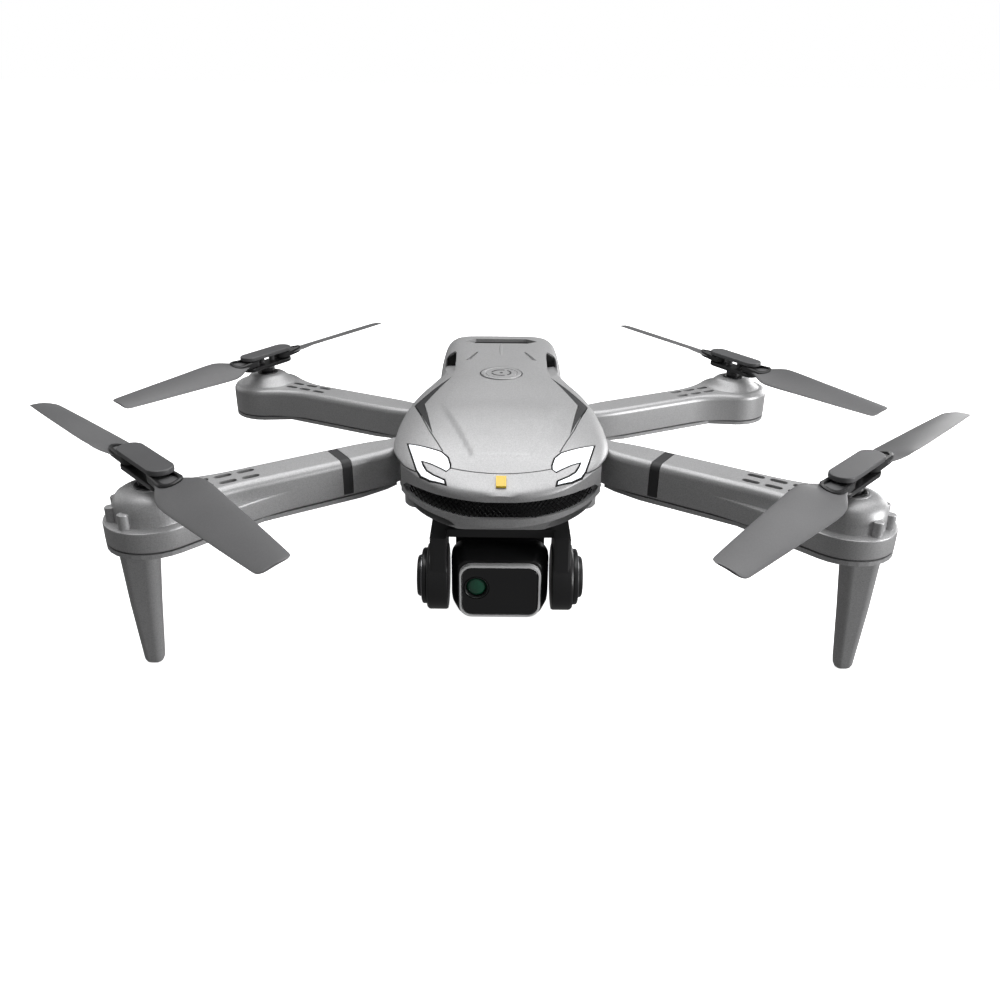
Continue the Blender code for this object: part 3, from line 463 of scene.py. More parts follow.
hood = hollow_hull("hood")
cut(hood, slab("below_rim", (-60, -90, 10), (60, 90, RIM_Z)))
cut(hood, beyond_line("ahead", HAIRLINE / 2, -90, 20))
cut(hood, plate("button_hole", round_points((0, BUTTON_Y), BUTTON_RADIUS + HAIRLINE), 40, CLEAR_ABOVE))
cut(hood, plate("vent_hole", TAIL_VENT, 50, CLEAR_ABOVE))
cut(hood, slab("tail_slit", (-7.6, 57.2, 55.5), (7.6, 58.0, CLEAR_ABOVE)))
for side in (1, -1):
    cut(hood, skin_tool("lamp_hole", grown(both_sides(LAMP_GLOW, side), LAMP_EDGE), 5))
    cut(hood, skin_tool("chevron_hole", grown(both_sides(CHEVRON, side), 0.2), 5))
    groove = GROOVE + [(x - HAIRLINE, y) for x, y in GROOVE[::-1]]
    cut(hood, skin_tool("groove", both_sides(groove, side), 0.6))
    notch = both_sides(NOTCH, side)
    notch_low = [(x, y, skin_height(x, y) - depth) for (x, y), depth in zip(notch, NOTCH_DEPTHS)]
    cut(hood, wrapped("notch", [notch_low, *raised(notch, CLEAR_ABOVE)]))
    scoop = both_sides(SCOOP, side)
    floor_z = [57.4 - 4.6 * eased((y - 11) / 24) for x, y in scoop]
    tray = grown(scoop, 0.3)
    tray_low = [(x, y, z - 1.5) for (x, y), z in zip(tray, floor_z)]
    tray_top = [(x, y, skin_height(x, y) - 0.9) for x, y in tray]
    cut(hood, wrapped("tray", [tray_low, tray_top]), "UNION")
    scoop_low = [(x, y, z) for (x, y), z in zip(scoop, floor_z)]
    cut(hood, wrapped("scoop", [scoop_low, *raised(scoop, CLEAR_ABOVE)]))
fitted(hood, satin_silver, "silver_shell", "airframe", "upper_shell")

# ---------------------------------------------------------------- tail vent, scoop mouths and fin
# Black moulded louvres are clipped in behind the tail opening, and a near-black plate at the back of each side scoop
# is painted shade, standing in for its shadowed opening. They let warm air out from over the battery. A low lacquered
# fin, moulded with the hood, stands ahead of the vent.

SIDES = ((1, "left"), (-1, "right"))
satin_black = moulded(
    "satin_black_plastic", (0.016, 0.016, 0.017), (0.024, 0.024, 0.025), 4600, (0.26, 0.36), 0.000008, 0.0, 0.1
)
# A near-black matt plastic: real black liners and lamp edging, and also painted shade where it fills the scoop ends and
# the space under the arm slots.
near_black_and_painted_shade = moulded(
    "near_black_lining_and_painted_shade", (0.005, 0.005, 0.005), (0.008, 0.008, 0.008), 2600, (0.85, 0.95), 0.00002
)
louvres = plate("tail_louvres", grown(TAIL_VENT, 0.5), 55.2, 56.3)
for slat_y in (47.6, 49.0, 50.4, 51.8):
    slat = [(-10.6, slat_y, 55.6), (10.6, slat_y, 55.6), (10.6, slat_y + 0.5, 55.6), (-10.6, slat_y + 0.5, 55.6)]
    cut(louvres, wrapped("slat", [slat, [(x, y + 0.6, 57.7) for x, y, z in slat]]), "UNION")
fitted(louvres, satin_black, "black_plastic", "airframe")
# Near-black plates at the scoop ends: painted shade for the shadowed openings there.
for side, word in SIDES:
    mouth = both_sides([(16.3, 37.3), (19.4, 37.3), (18.8, 38.6), (16.8, 38.6)], side)
    mouth_top = [(x, y + 0.5, skin_height(x, y) - 0.5) for x, y in mouth]
    fitted(
        wrapped(f"scoop_end_painted_shade_{word}", [[(x, y, 52.4) for x, y in mouth], mouth_top]),
        near_black_and_painted_shade, "black_plastic", "airframe",
    )
fin_loops = []
for step in range(13):
    fin_y = 29.6 + 17.0 * step / 12
    swell = math.sin(math.pi * (0.06 + 0.86 * step / 12)) ** 0.5
    base = skin_height(0, fin_y)
    fin_loops.append([
        (0.85 * swell * math.cos(a), fin_y, base - 0.25 + (0.5 * swell * math.sin(a) if math.sin(a) > 0 else -0.2))
        for a in [math.tau * i / 16 for i in range(16)]
    ])
fitted(wrapped("tail_fin", fin_loops), satin_silver, "silver_shell", "airframe")

# ---------------------------------------------------------------- nose bumper
# The lacquered nose moulding ahead of the panel line, with the grille mouth through its lip. It snaps on to the lower
# shell under the hood's front edge.

FASCIA_BOTTOM, FASCIA_BACK_Y = 37.9, -44.15
MOUTH = [
    (-27.7, 42.9), (-26.4, 41.5), (-22.0, 40.7), (-12.0, 40.3), (0.0, 40.2), (12.0, 40.3), (22.0, 40.7), (26.4, 41.5),
    (27.7, 42.9), (26.4, 44.5), (22.0, 45.1), (12.0, 45.3), (0.0, 45.3), (-12.0, 45.3), (-22.0, 45.1), (-26.4, 44.5),
]
bumper = hollow_hull("bumper")
cut(bumper, slab("behind", (-60, FASCIA_BACK_Y, 10), (60, 90, 90)))
chin = [(x, FASCIA_BOTTOM + 0.0032 * x * x) for x in range(-34, 35, 2)] + [(34, 20), (-34, 20)]
cut(bumper, wrapped("under_chin", [[(x, y, z) for x, z in chin] for y in (-90.0, 90.0)]))
cut(bumper, beyond_line("behind_line", -HAIRLINE / 2, 80, RIM_Z - HAIRLINE))
cut(bumper, wrapped("mouth", [[(x, y, z) for x, z in MOUTH] for y in (-80.0, -44.5)]))
for side in (1, -1):
    cut(bumper, skin_tool("lamp_hole", grown(both_sides(LAMP_GLOW, side), LAMP_EDGE), 1.5))
fitted(bumper, satin_silver, "silver_shell", "airframe", "nose_bumper")

# ---------------------------------------------------------------- grille
# A black moulded lattice of crossing bars, bent round the nose behind the mouth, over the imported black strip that
# closes the duct.

GRILLE_INSET, CELL_WIDTH, CELL_HEIGHT, CELLS = 2.3, 0.78, 0.86, 42
GRILLE_Z, GRILLE_HALF_HEIGHT, GRILLE_HALF_WIDTH, BAR_THICKNESS = 42.8, 3.6, 28.2, 0.42


def round_nose(x, inset):
    """A place on the nose outline, set in from the skin."""
    depth = math.sqrt(1 - (x / HULL_HALF_WIDTH) ** 2)
    return x * (1 - inset / HULL_HALF_WIDTH), NOSE_CENTRE_Y + (NOSE_Y - NOSE_CENTRE_Y + inset) * depth


gloss_black = moulded(
    "gloss_black_plastic", (0.008, 0.008, 0.009), (0.012, 0.012, 0.013), 2500, (0.08, 0.14), 0.000002, 0.0, 0.5
)
bpy.ops.object.select_all(action="DESELECT")
bpy.ops.mesh.primitive_grid_add(x_subdivisions=CELLS, y_subdivisions=CELLS, size=1)
lattice = bpy.context.active_object
lattice.name = lattice.data.name = "grille_lattice"
spare = []
for vertex in lattice.data.vertices:
    row, column = divmod(vertex.index, CELLS + 1)
    x, z = (column - row) * CELL_WIDTH, GRILLE_Z + (column + row - CELLS) * CELL_HEIGHT
    spare.append(abs(z - GRILLE_Z) > GRILLE_HALF_HEIGHT or abs(x) > GRILLE_HALF_WIDTH)
    nose_x, nose_y = round_nose(max(-GRILLE_HALF_WIDTH, min(GRILLE_HALF_WIDTH, x)), GRILLE_INSET)
    vertex.co = place(nose_x, nose_y, z)
bpy.ops.object.mode_set(mode="EDIT")
bpy.ops.mesh.select_mode(type="VERT")
bpy.ops.mesh.select_all(action="DESELECT")
bpy.ops.object.mode_set(mode="OBJECT")
for vertex, unwanted in zip(lattice.data.vertices, spare):
    vertex.select = unwanted
bpy.ops.object.mode_set(mode="EDIT")
bpy.ops.mesh.delete(type="VERT")
bpy.ops.object.mode_set(mode="OBJECT")
bars = lattice.modifiers.new("bars", "WIREFRAME")
bars.thickness, bars.use_even_offset, bars.use_boundary = BAR_THICKNESS * 0.001, False, True
bpy.ops.object.modifier_apply(modifier="bars")
fitted(lattice, gloss_black, "black_plastic", "airframe")
coated("grille", satin_black)

# ---------------------------------------------------------------- headlights
# White light guides, each a hooked band flush with the skin in a dark-edged slot. They are clear moulded acrylic with a
# milky back, lit along their length.

light_guide, guide_shader, guide_skin = skinned(
    "light_guide", (0.95, 0.96, 0.97), (0.84, 0.88, 0.93), 1500, (0.12, 0.2)
)
wired(light_guide.node_tree, (guide_skin, "Colour", guide_shader, "Emission Color"))
preset(guide_shader, Emission_Strength=0.9)
for side, word in SIDES:
    lamp = skin_tool(f"light_guide_{word}", both_sides(LAMP_GLOW, side), 1.2)
    cut(lamp, hull_skin, "INTERSECT", keep=True)
    fitted(lamp, light_guide, "lamp_white", "airframe", f"headlight_{word}")
    edging = skin_tool(f"lamp_edging_{word}", grown(both_sides(LAMP_GLOW, side), LAMP_EDGE - 0.05), 1.3)
    cut(edging, hull_skin, "INTERSECT", keep=True)
    cut(edging, skin_tool("lamp_space", grown(both_sides(LAMP_GLOW, side), 0.04), 4))
    for vertex in edging.data.vertices:
        vertex.co.z -= 0.0001
    fitted(edging, near_black_and_painted_shade, "black_plastic", "airframe")

# ---------------------------------------------------------------- accent inlays
# Dark chevron inlays, one on each side of the hood. They are moulded in a dull dark plastic and stuck in pockets, a
# hair below the lacquer round them.

dull_inlay = moulded(
    "dull_dark_inlay", (0.022, 0.022, 0.024), (0.030, 0.030, 0.032), 3800, (0.42, 0.55), 0.000012, 0.0, 0.0, 0.1
)
for side, word in SIDES:
    inlay = skin_tool(f"chevron_{word}", both_sides(CHEVRON, side), 1.6)
    cut(inlay, hull_skin, "INTERSECT", keep=True)
    for vertex in inlay.data.vertices:
        vertex.co.z -= 0.00012
    fitted(inlay, dull_inlay, "dark_inlay", "airframe", f"accent_inlay_{word}")

# ---------------------------------------------------------------- power button
# A lacquered round button, grooved between two rings, with a dark broken ring and dot let into it. It drops into the
# hood's hole and clicks down on a switch on the board.


def revolved(name, centre, profile, count=48):
    """An upright turned piece: its profile is (radius, height) from the bottom up."""
    loops = [[(x, y, z) for x, y in round_points(centre, radius, count)] for radius, z in profile]
    return wrapped(name, loops)


button_profile = [
    (3.0, 53.8), (3.0, 56.2), (6.7, 56.4), (6.7, 58.95), (6.62, 59.15), (6.4, 59.27), (5.7, 59.27), (5.55, 59.2),
    (5.4, 58.92), (5.1, 58.92), (4.95, 59.15), (4.8, 59.2), (2.0, 59.16), (0.3, 59.15),
]
button = revolved("button", (0, BUTTON_Y), button_profile)
fitted(button, satin_silver, "silver_shell", "power_button", "power_button")
mark = revolved("button_mark", (0, BUTTON_Y), [(0.5, 59.0), (0.5, 59.24), (0.4, 59.25)], 20)
for start in (-50, 70, 190):
    sweep = [math.radians(start + 100 * i / 16) for i in range(17)]
    outer = [(3.35 * math.cos(a), BUTTON_Y + 3.35 * math.sin(a)) for a in sweep]
    inner = [(2.85 * math.cos(a), BUTTON_Y + 2.85 * math.sin(a)) for a in sweep]
    cut(mark, plate("arc", outer + inner[::-1], 59.0, 59.24), "UNION")
fitted(mark, dull_inlay, "dark_inlay", "power_button")

# ---------------------------------------------------------------- lower shell, battery, board, pins and badge
# The belly tub is lacquered like the hood, with two black liners that close off its bay. The battery is a dark cased
# pack that slides in from the tail, the board is green laminate, and the badge is a plain yellow enamelled tile. The
# hinge pins and motors are ground steel.

battery_case = moulded(
    "battery_case", (0.030, 0.030, 0.032), (0.042, 0.042, 0.045), 3000, (0.38, 0.5), 0.00002
)
board_green = moulded("board_laminate", (0.02, 0.11, 0.055), (0.03, 0.15, 0.07), 900, (0.35, 0.55), 0.000015)
ground_steel = moulded(
    "ground_steel", (0.58, 0.58, 0.60), (0.50, 0.50, 0.52), 6000, (0.22, 0.36), 0.000006, 1.0
)
enamel_yellow = moulded(
    "enamel_yellow", (0.86, 0.60, 0.03), (0.80, 0.53, 0.02), 2200, (0.2, 0.3), 0.000004, 0.0, 0.4
)
BELLY = [(-57, 34.6), (-50, 33.0), (-42, 31.2), (-33, 31.0), (-27, 25.5), (-21, 22.6), (56, 22.6), (TAIL_Y, 25.0)]
TUB_INSETS = [(-57, 3.2), (-36, 3.2), (-29, 0.9), (-20, 0.3)]
KEEL_HALF = [(-57, 12.0), (-36, 17.0), (-10, 17.5), (8, 18.0), (20, 19.8), (TAIL_Y, 18.6)]
FLANK_STEPS, FLANK_SWEEP, BILGE_ROUNDING = (0.0, 0.12, 0.25, 0.4, 0.55, 0.7, 0.8, 0.87, 0.93, 0.97, 1.0), 1.7, 3.5
FLOOR_WALL, TUB_NOSE_Y, DOOR_HALF_WIDTH, DOOR_LOW, DOOR_HIGH = 1.7, -57.0, 14.4, 24.8, 42.4
FRONT_HINGE, PIN_BORE = (25.5, -23.6), 2.15


def tub_loop(y, inset, rim):
    """One section of the belly tub: its flanks draw in to a narrower rounded keel."""
    wide = hull_measures(y)[0] - along_table(TUB_INSETS, y) - inset
    keel = min(along_table(KEEL_HALF, y) - inset, wide)
    floor_z = along_table(BELLY, y) + inset
    right = []
    for share in FLANK_STEPS:
        round_off = min(1.0, max(0.0, share - 0.7) / 0.3)
        x = keel + (wide - keel) * (1 - share) ** FLANK_SWEEP - BILGE_ROUNDING * (1 - math.sqrt(1 - round_off ** 2))
        right.append((x, y, rim + (floor_z - rim) * share))
    return right + [(-x, y, z) for x, y, z in right[::-1]]


def tub_blank(name, inset, rim, start, stop, pitch=1.5):
    """The tub between two stations as a solid, set in from its outer skin."""
    count = round((stop - start) / pitch)
    return wrapped(name, [tub_loop(start + (stop - start) * i / count, inset, rim) for i in range(count + 1)])


tub = tub_blank("belly_tub", 0, 35.7, TUB_NOSE_Y, TAIL_Y)
cut(tub, tub_blank("tail_walls", 0, 48.9, 13.0, TAIL_Y), "UNION")
cut(tub, tub_blank("nose_wall", 0, 37.6, TUB_NOSE_Y, -45.0), "UNION")
cut(tub, tub_blank("bay", FLOOR_WALL, 39.9, TUB_NOSE_Y + FLOOR_WALL, TAIL_Y - FLOOR_WALL))
cut(tub, tub_blank("tail_bay", FLOOR_WALL, 51.2, 10.0, TAIL_Y - FLOOR_WALL))
cut(tub, slab("battery_door", (-DOOR_HALF_WIDTH, 55, DOOR_LOW), (DOOR_HALF_WIDTH, 70, DOOR_HIGH)))
for side in (1, -1):
    low_x, high_x = sorted((side * 16.8, side * 40))
    cut(tub, slab("rear_arm_slot", (low_x, 17.5, 24.9), (high_x, 46.5, 38.1)))
for side in (1, -1):
    hinge = (side * FRONT_HINGE[0], FRONT_HINGE[1])
    cut(tub, revolved("hinge_post", hinge, [(3.7, 26.9), (4.2, 27.5), (4.2, 35.0), (4.0, 35.2)]), "UNION")
    cut(tub, revolved("pin_bore", hinge, [(PIN_BORE, 27.4), (PIN_BORE, 40.0)]))
fitted(tub, satin_silver, "silver_shell", "airframe", "lower_shell")
for side, word in SIDES:
    wall = both_sides([(13.5, -43.0), (17.0, -36.0), (17.0, 12.0), (16.2, 12.0), (16.2, -36.0), (12.9, -43.0)], side)
    fitted(plate(f"bay_wall_{word}", wall, 36.2, 50.5), near_black_and_painted_shade, "black_plastic", "airframe")
coated("battery_pack", battery_case)
coated("main_board", board_green)
coated("nose_badge", enamel_yellow)
for end in ("front", "rear"):
    for word in ("left", "right"):
        coated(f"hinge_pin_{end}_{word}", ground_steel)
        coated(f"motor_{end}_{word}", ground_steel)

# ---------------------------------------------------------------- gimbal yoke
# A satin black fork under the nose that carries the camera between two round pods. Its bridge is screwed to the belly,
# and stepped caps with a fine bright rim cover the pivots.

TILT_Y, TILT_Z = -48.0, 14.8


def turned_across(name, rings, count=64):
    """A turned piece on the camera's tilt axis: rings are (radius, x)."""
    return wrapped(name, [[(x, y, z) for y, z in round_points((TILT_Y, TILT_Z), radius, count)] for radius, x in rings])


yoke = slab("yoke", (-15.9, TILT_Y - 1.0, 28.0), (15.9, -34.0, 30.4))
cut(yoke, slab("yoke_back", (-13.4, -36.2, 17.0), (13.4, -34.2, 30.0)), "UNION")
for side in (1, -1):
    rings = [(9.0, 14.9), (9.55, 15.0), (9.8, 15.5), (9.8, 20.1), (9.65, 20.6), (9.2, 21.0), (8.6, 21.0)]
    cut(yoke, turned_across("pod", [(radius, side * x) for radius, x in rings]), "UNION")
    fork = [(15.2, 8.2), (15.8, 8.6), (19.2, 8.6), (19.9, 8.0), (19.9, -8.0), (19.2, -8.6), (15.8, -8.6), (15.2, -8.2)]
    fork_low = [(side * x, TILT_Y + y, TILT_Z) for x, y in fork]
    fork_top = [(side * x, TILT_Y + y * 0.76, 30.3) for x, y in fork]
    cut(yoke, wrapped("fork", [fork_low, fork_top]), "UNION")
fitted(yoke, satin_black, "black_plastic", "airframe", "gimbal_yoke")
for side, word in SIDES:
    steps = [
        (8.0, 21.15), (8.2, 21.3), (8.2, 22.1), (8.0, 22.45), (7.6, 22.5), (6.4, 22.45), (6.2, 22.6), (6.1, 23.2),
        (5.9, 23.7), (5.5, 23.95), (4.6, 24.0), (4.4, 23.7), (1.6, 23.7), (1.5, 24.05), (1.2, 24.1),
    ]
    cap = turned_across(f"pivot_cap_{word}", [(radius, side * x) for radius, x in steps])
    fitted(cap, satin_black, "black_plastic", "airframe", f"gimbal_cap_{word}")
    rim = [(7.35, 22.3), (7.35, 22.62), (7.6, 22.62), (7.6, 22.3)]
    ring = turned_across(f"pivot_rim_{word}", [(radius, side * x) for radius, x in rim + rim[:1]])
    fitted(ring, ground_steel, "steel", "airframe")

# ---------------------------------------------------------------- camera
# A black moulded head that tilts in the fork: a rounded box with a flat crown, a gloss face plate inside a white
# rounded frame, and a coated glass lens in a stepped black barrel.

FACE_Y, FACE_Z, FACE_HALF_WIDTH, FACE_HALF_HEIGHT = -56.0, 14.0, 11.7, 8.5
FACE_ROUNDING, FRAME_WIDTH, LENS_X, LENS_Z = 3.6, 0.65, -6.7, 15.2


def round_box(y, half_width, half_height, radius, middle, count=8):
    """A round-cornered loop across Y."""
    loop = []
    for turn, (sx, sz) in enumerate(((1, 1), (-1, 1), (-1, -1), (1, -1))):
        for i in range(count + 1):
            angle = math.pi / 2 * (turn + i / count)
            x = sx * (half_width - radius) + radius * math.cos(angle)
            loop.append((x, y, middle + sz * (half_height - radius) + radius * math.sin(angle)))
    return loop


def turned_ahead(name, rings, count=48):
    """A turned piece on the lens axis: rings are (radius, y)."""
    return wrapped(name, [[(x, y, z) for x, z in round_points((LENS_X, LENS_Z), radius, count)] for radius, y in rings])


HEAD = [
    (-54.0, 11.6, 8.3, 3.0, 14.0), (-53.9, 12.0, 8.7, 3.2, 14.0), (-53.5, 12.4, 9.0, 3.3, 14.05),
    (-51.5, 13.2, 9.3, 3.6, 14.25), (-49.5, 13.9, 9.7, 3.8, 14.6), (-47.5, 14.2, 9.9, 4.0, 14.8),
    (-44.5, 14.2, 9.7, 4.0, 14.8), (-42.3, 13.9, 9.1, 4.0, 14.8), (-40.6, 13.2, 8.0, 4.0, 14.8),
    (-39.6, 12.3, 6.8, 4.0, 14.8), (-39.2, 11.4, 5.8, 4.0, 14.8),
]
head = wrapped("camera_head", [round_box(*section) for section in HEAD])
cut(head, turned_ahead("lens_bore", [(4.1, -60.0), (4.1, -49.0)]))
fitted(head, satin_black, "black_plastic", "camera", "camera_housing")


def face_box(y, inset, radius):
    """The rounded outline of the camera's face, set in at a distance ahead."""
    return round_box(y, FACE_HALF_WIDTH - inset, FACE_HALF_HEIGHT - inset, radius, FACE_Z)


frame_steps = [(-54.3, 0.0), (-55.6, 0.0), (-55.9, 0.12), (FACE_Y, 0.35)]
frame_out = [face_box(y, inset, FACE_ROUNDING) for y, inset in frame_steps]
frame_in = [face_box(y, FRAME_WIDTH, 3.1) for y in (-60.0, -50.0)]
face_frame = wrapped("face_frame", frame_out)
cut(face_frame, wrapped("frame_window", frame_in))
trim_white = moulded("trim_white", (0.95, 0.95, 0.95), (0.92, 0.92, 0.93), 3600, (0.2, 0.3), 0.000004, 0.0, 0.2)
fitted(face_frame, trim_white, "trim_white", "camera", "camera_trim")
plate_steps = [(-54.3, 0.8), (-55.6, 0.8), (-55.8, 1.0)]
face_plate = wrapped("face_plate", [face_box(y, inset, 2.9) for y, inset in plate_steps])
cut(face_plate, turned_ahead("face_bore", [(3.7, -60.0), (3.7, -50.0)]))
fitted(face_plate, gloss_black, "gloss_black", "camera", "camera_face")
barrel = turned_ahead("lens_tube", [
    (3.2, -49.5), (3.5, -49.6), (3.5, -55.75), (3.45, -55.85), (3.3, -55.9), (3.2, -55.8), (3.1, -55.4),
    (3.02, -55.35), (3.0, -54.9), (2.95, -54.4), (2.9, -54.3),
])
fitted(barrel, satin_black, "black_plastic", "camera", "lens_barrel")
lens_glass, glass_shader, _ = skinned(
    "coated_lens_glass", (0.01, 0.06, 0.045), (0.015, 0.14, 0.08), 300, (0.03, 0.06)
)
preset(glass_shader, Coat_Weight=1.0, Coat_Roughness=0.02, Coat_Tint=(0.75, 1.0, 0.85, 1))
glass = turned_ahead("lens", [
    (2.9, -54.3), (2.88, -54.7), (2.7, -55.05), (2.35, -55.35), (1.8, -55.6), (1.1, -55.77), (0.4, -55.83),
])
fitted(glass, lens_glass, "lens_glass", "camera", "lens_glass")

# ---------------------------------------------------------------- arms
# Four folding arms, each one lacquered moulding from its hinge knuckle to its round motor pod, hollow underneath and
# closed by a screwed cover. Rows of slots let the motor breathe, and the front pods sit on a wider skirt.

ARM_HALF_WIDTH, KNUCKLE_RADIUS, KNUCKLE_NECK, ARM_WALL = 6.2, 6.0, 4.9, 1.5
BAND_DISTANCE, BAND_WIDTH, BAND_DEPTH, ARM_ROUNDING = 25.8, 2.8, 0.5, 2.2
SHAFT_HOLE, SKIRT_RADIUS, SKIRT_FLARE, SKIRT_TOP = 2.9, 12.6, 27.0, 43.0


def curve_points(start, bend, end, count):
    """Points on a smooth curve that leaves one line for another."""
    points = []
    for i in range(count + 1):
        t = i / count
        points.append(tuple(
            a * (1 - t) ** 2 + 2 * b * t * (1 - t) + c * t * t for a, b, c in zip(start, bend, end)
        ))
    return points


def arm_plan(length, pod_radius, flare, inset=0.0, hollow=False):
    """Plan of an arm along +X from its hinge. The hollow leaves the knuckle solid."""
    half, pod_radius = ARM_HALF_WIDTH - inset, pod_radius - inset
    lean = math.asin(max(0.0, pod_radius - half) / flare)
    arc_end = math.pi / 2 + lean
    upper = []
    for i in range(25):
        angle = arc_end * i / 24
        upper.append((length + pod_radius * math.cos(angle), pod_radius * math.sin(angle)))
    upper += curve_points(upper[-1], (length - flare, half), (length - flare - 9.0, half), 8)[1:]
    if hollow:
        upper += [(22.0, half), (13.0, half - 0.6), (9.0, 3.4 - inset)]
        return upper + [(x, -y) for x, y in upper[:0:-1]]
    neck, knuckle = KNUCKLE_NECK - inset, KNUCKLE_RADIUS - inset
    upper += curve_points((22.0, half), (13.0, half), (8.5, neck), 6)
    sweep = [math.radians(62 + 118 * i / 12) for i in range(13)]
    upper += [(knuckle * math.cos(a), knuckle * math.sin(a)) for a in sweep]
    return upper + [(x, -y) for x, y in upper[-2:0:-1]]


def arm_place(pivot, rotor, side):
    """Turns points in an arm's own frame into points about the middle of the hull."""
    bearing = math.atan2(rotor[1] - pivot[1], rotor[0] - pivot[0])

    def put(x, y, z):
        along = pivot[0] + x * math.cos(bearing) - y * math.sin(bearing)
        return (side * along, pivot[1] + x * math.sin(bearing) + y * math.cos(bearing), z)

    return put


def slot_plan(middle_x, middle_y, half_length, radius, count=6):
    """A round-ended slot along X."""
    right = [math.radians(-90 + 180 * i / count) for i in range(count + 1)]
    ends = [(half_length + radius * math.cos(a), radius * math.sin(a)) for a in right]
    return [(middle_x + x, middle_y + y) for x, y in ends] + [(middle_x - x, middle_y - y) for x, y in ends]


def band_loop(x, bottom, top, out, deep):
    """One end of the inlaid band: down one side of an arm, over its top and down the other."""
    half, loop = ARM_HALF_WIDTH, []
    for offset, order in ((out, 1), (-deep, -1)):
        radius = ARM_ROUNDING + offset
        right = [(half + offset, bottom + 0.6)]
        for i in range(9):
            angle = math.pi / 2 * i / 8
            out_y, out_z = radius * math.cos(angle), radius * math.sin(angle)
            right.append((half - ARM_ROUNDING + out_y, top - ARM_ROUNDING + out_z))
        path = right + [(-y, z) for y, z in right[::-1]]
        loop += [(x, y, z) for y, z in path[::order]]
    return loop


def put_loops(put, loops):
    """Loops of an arm's own points, put in place."""
    return [[put(*point) for point in loop] for loop in loops]


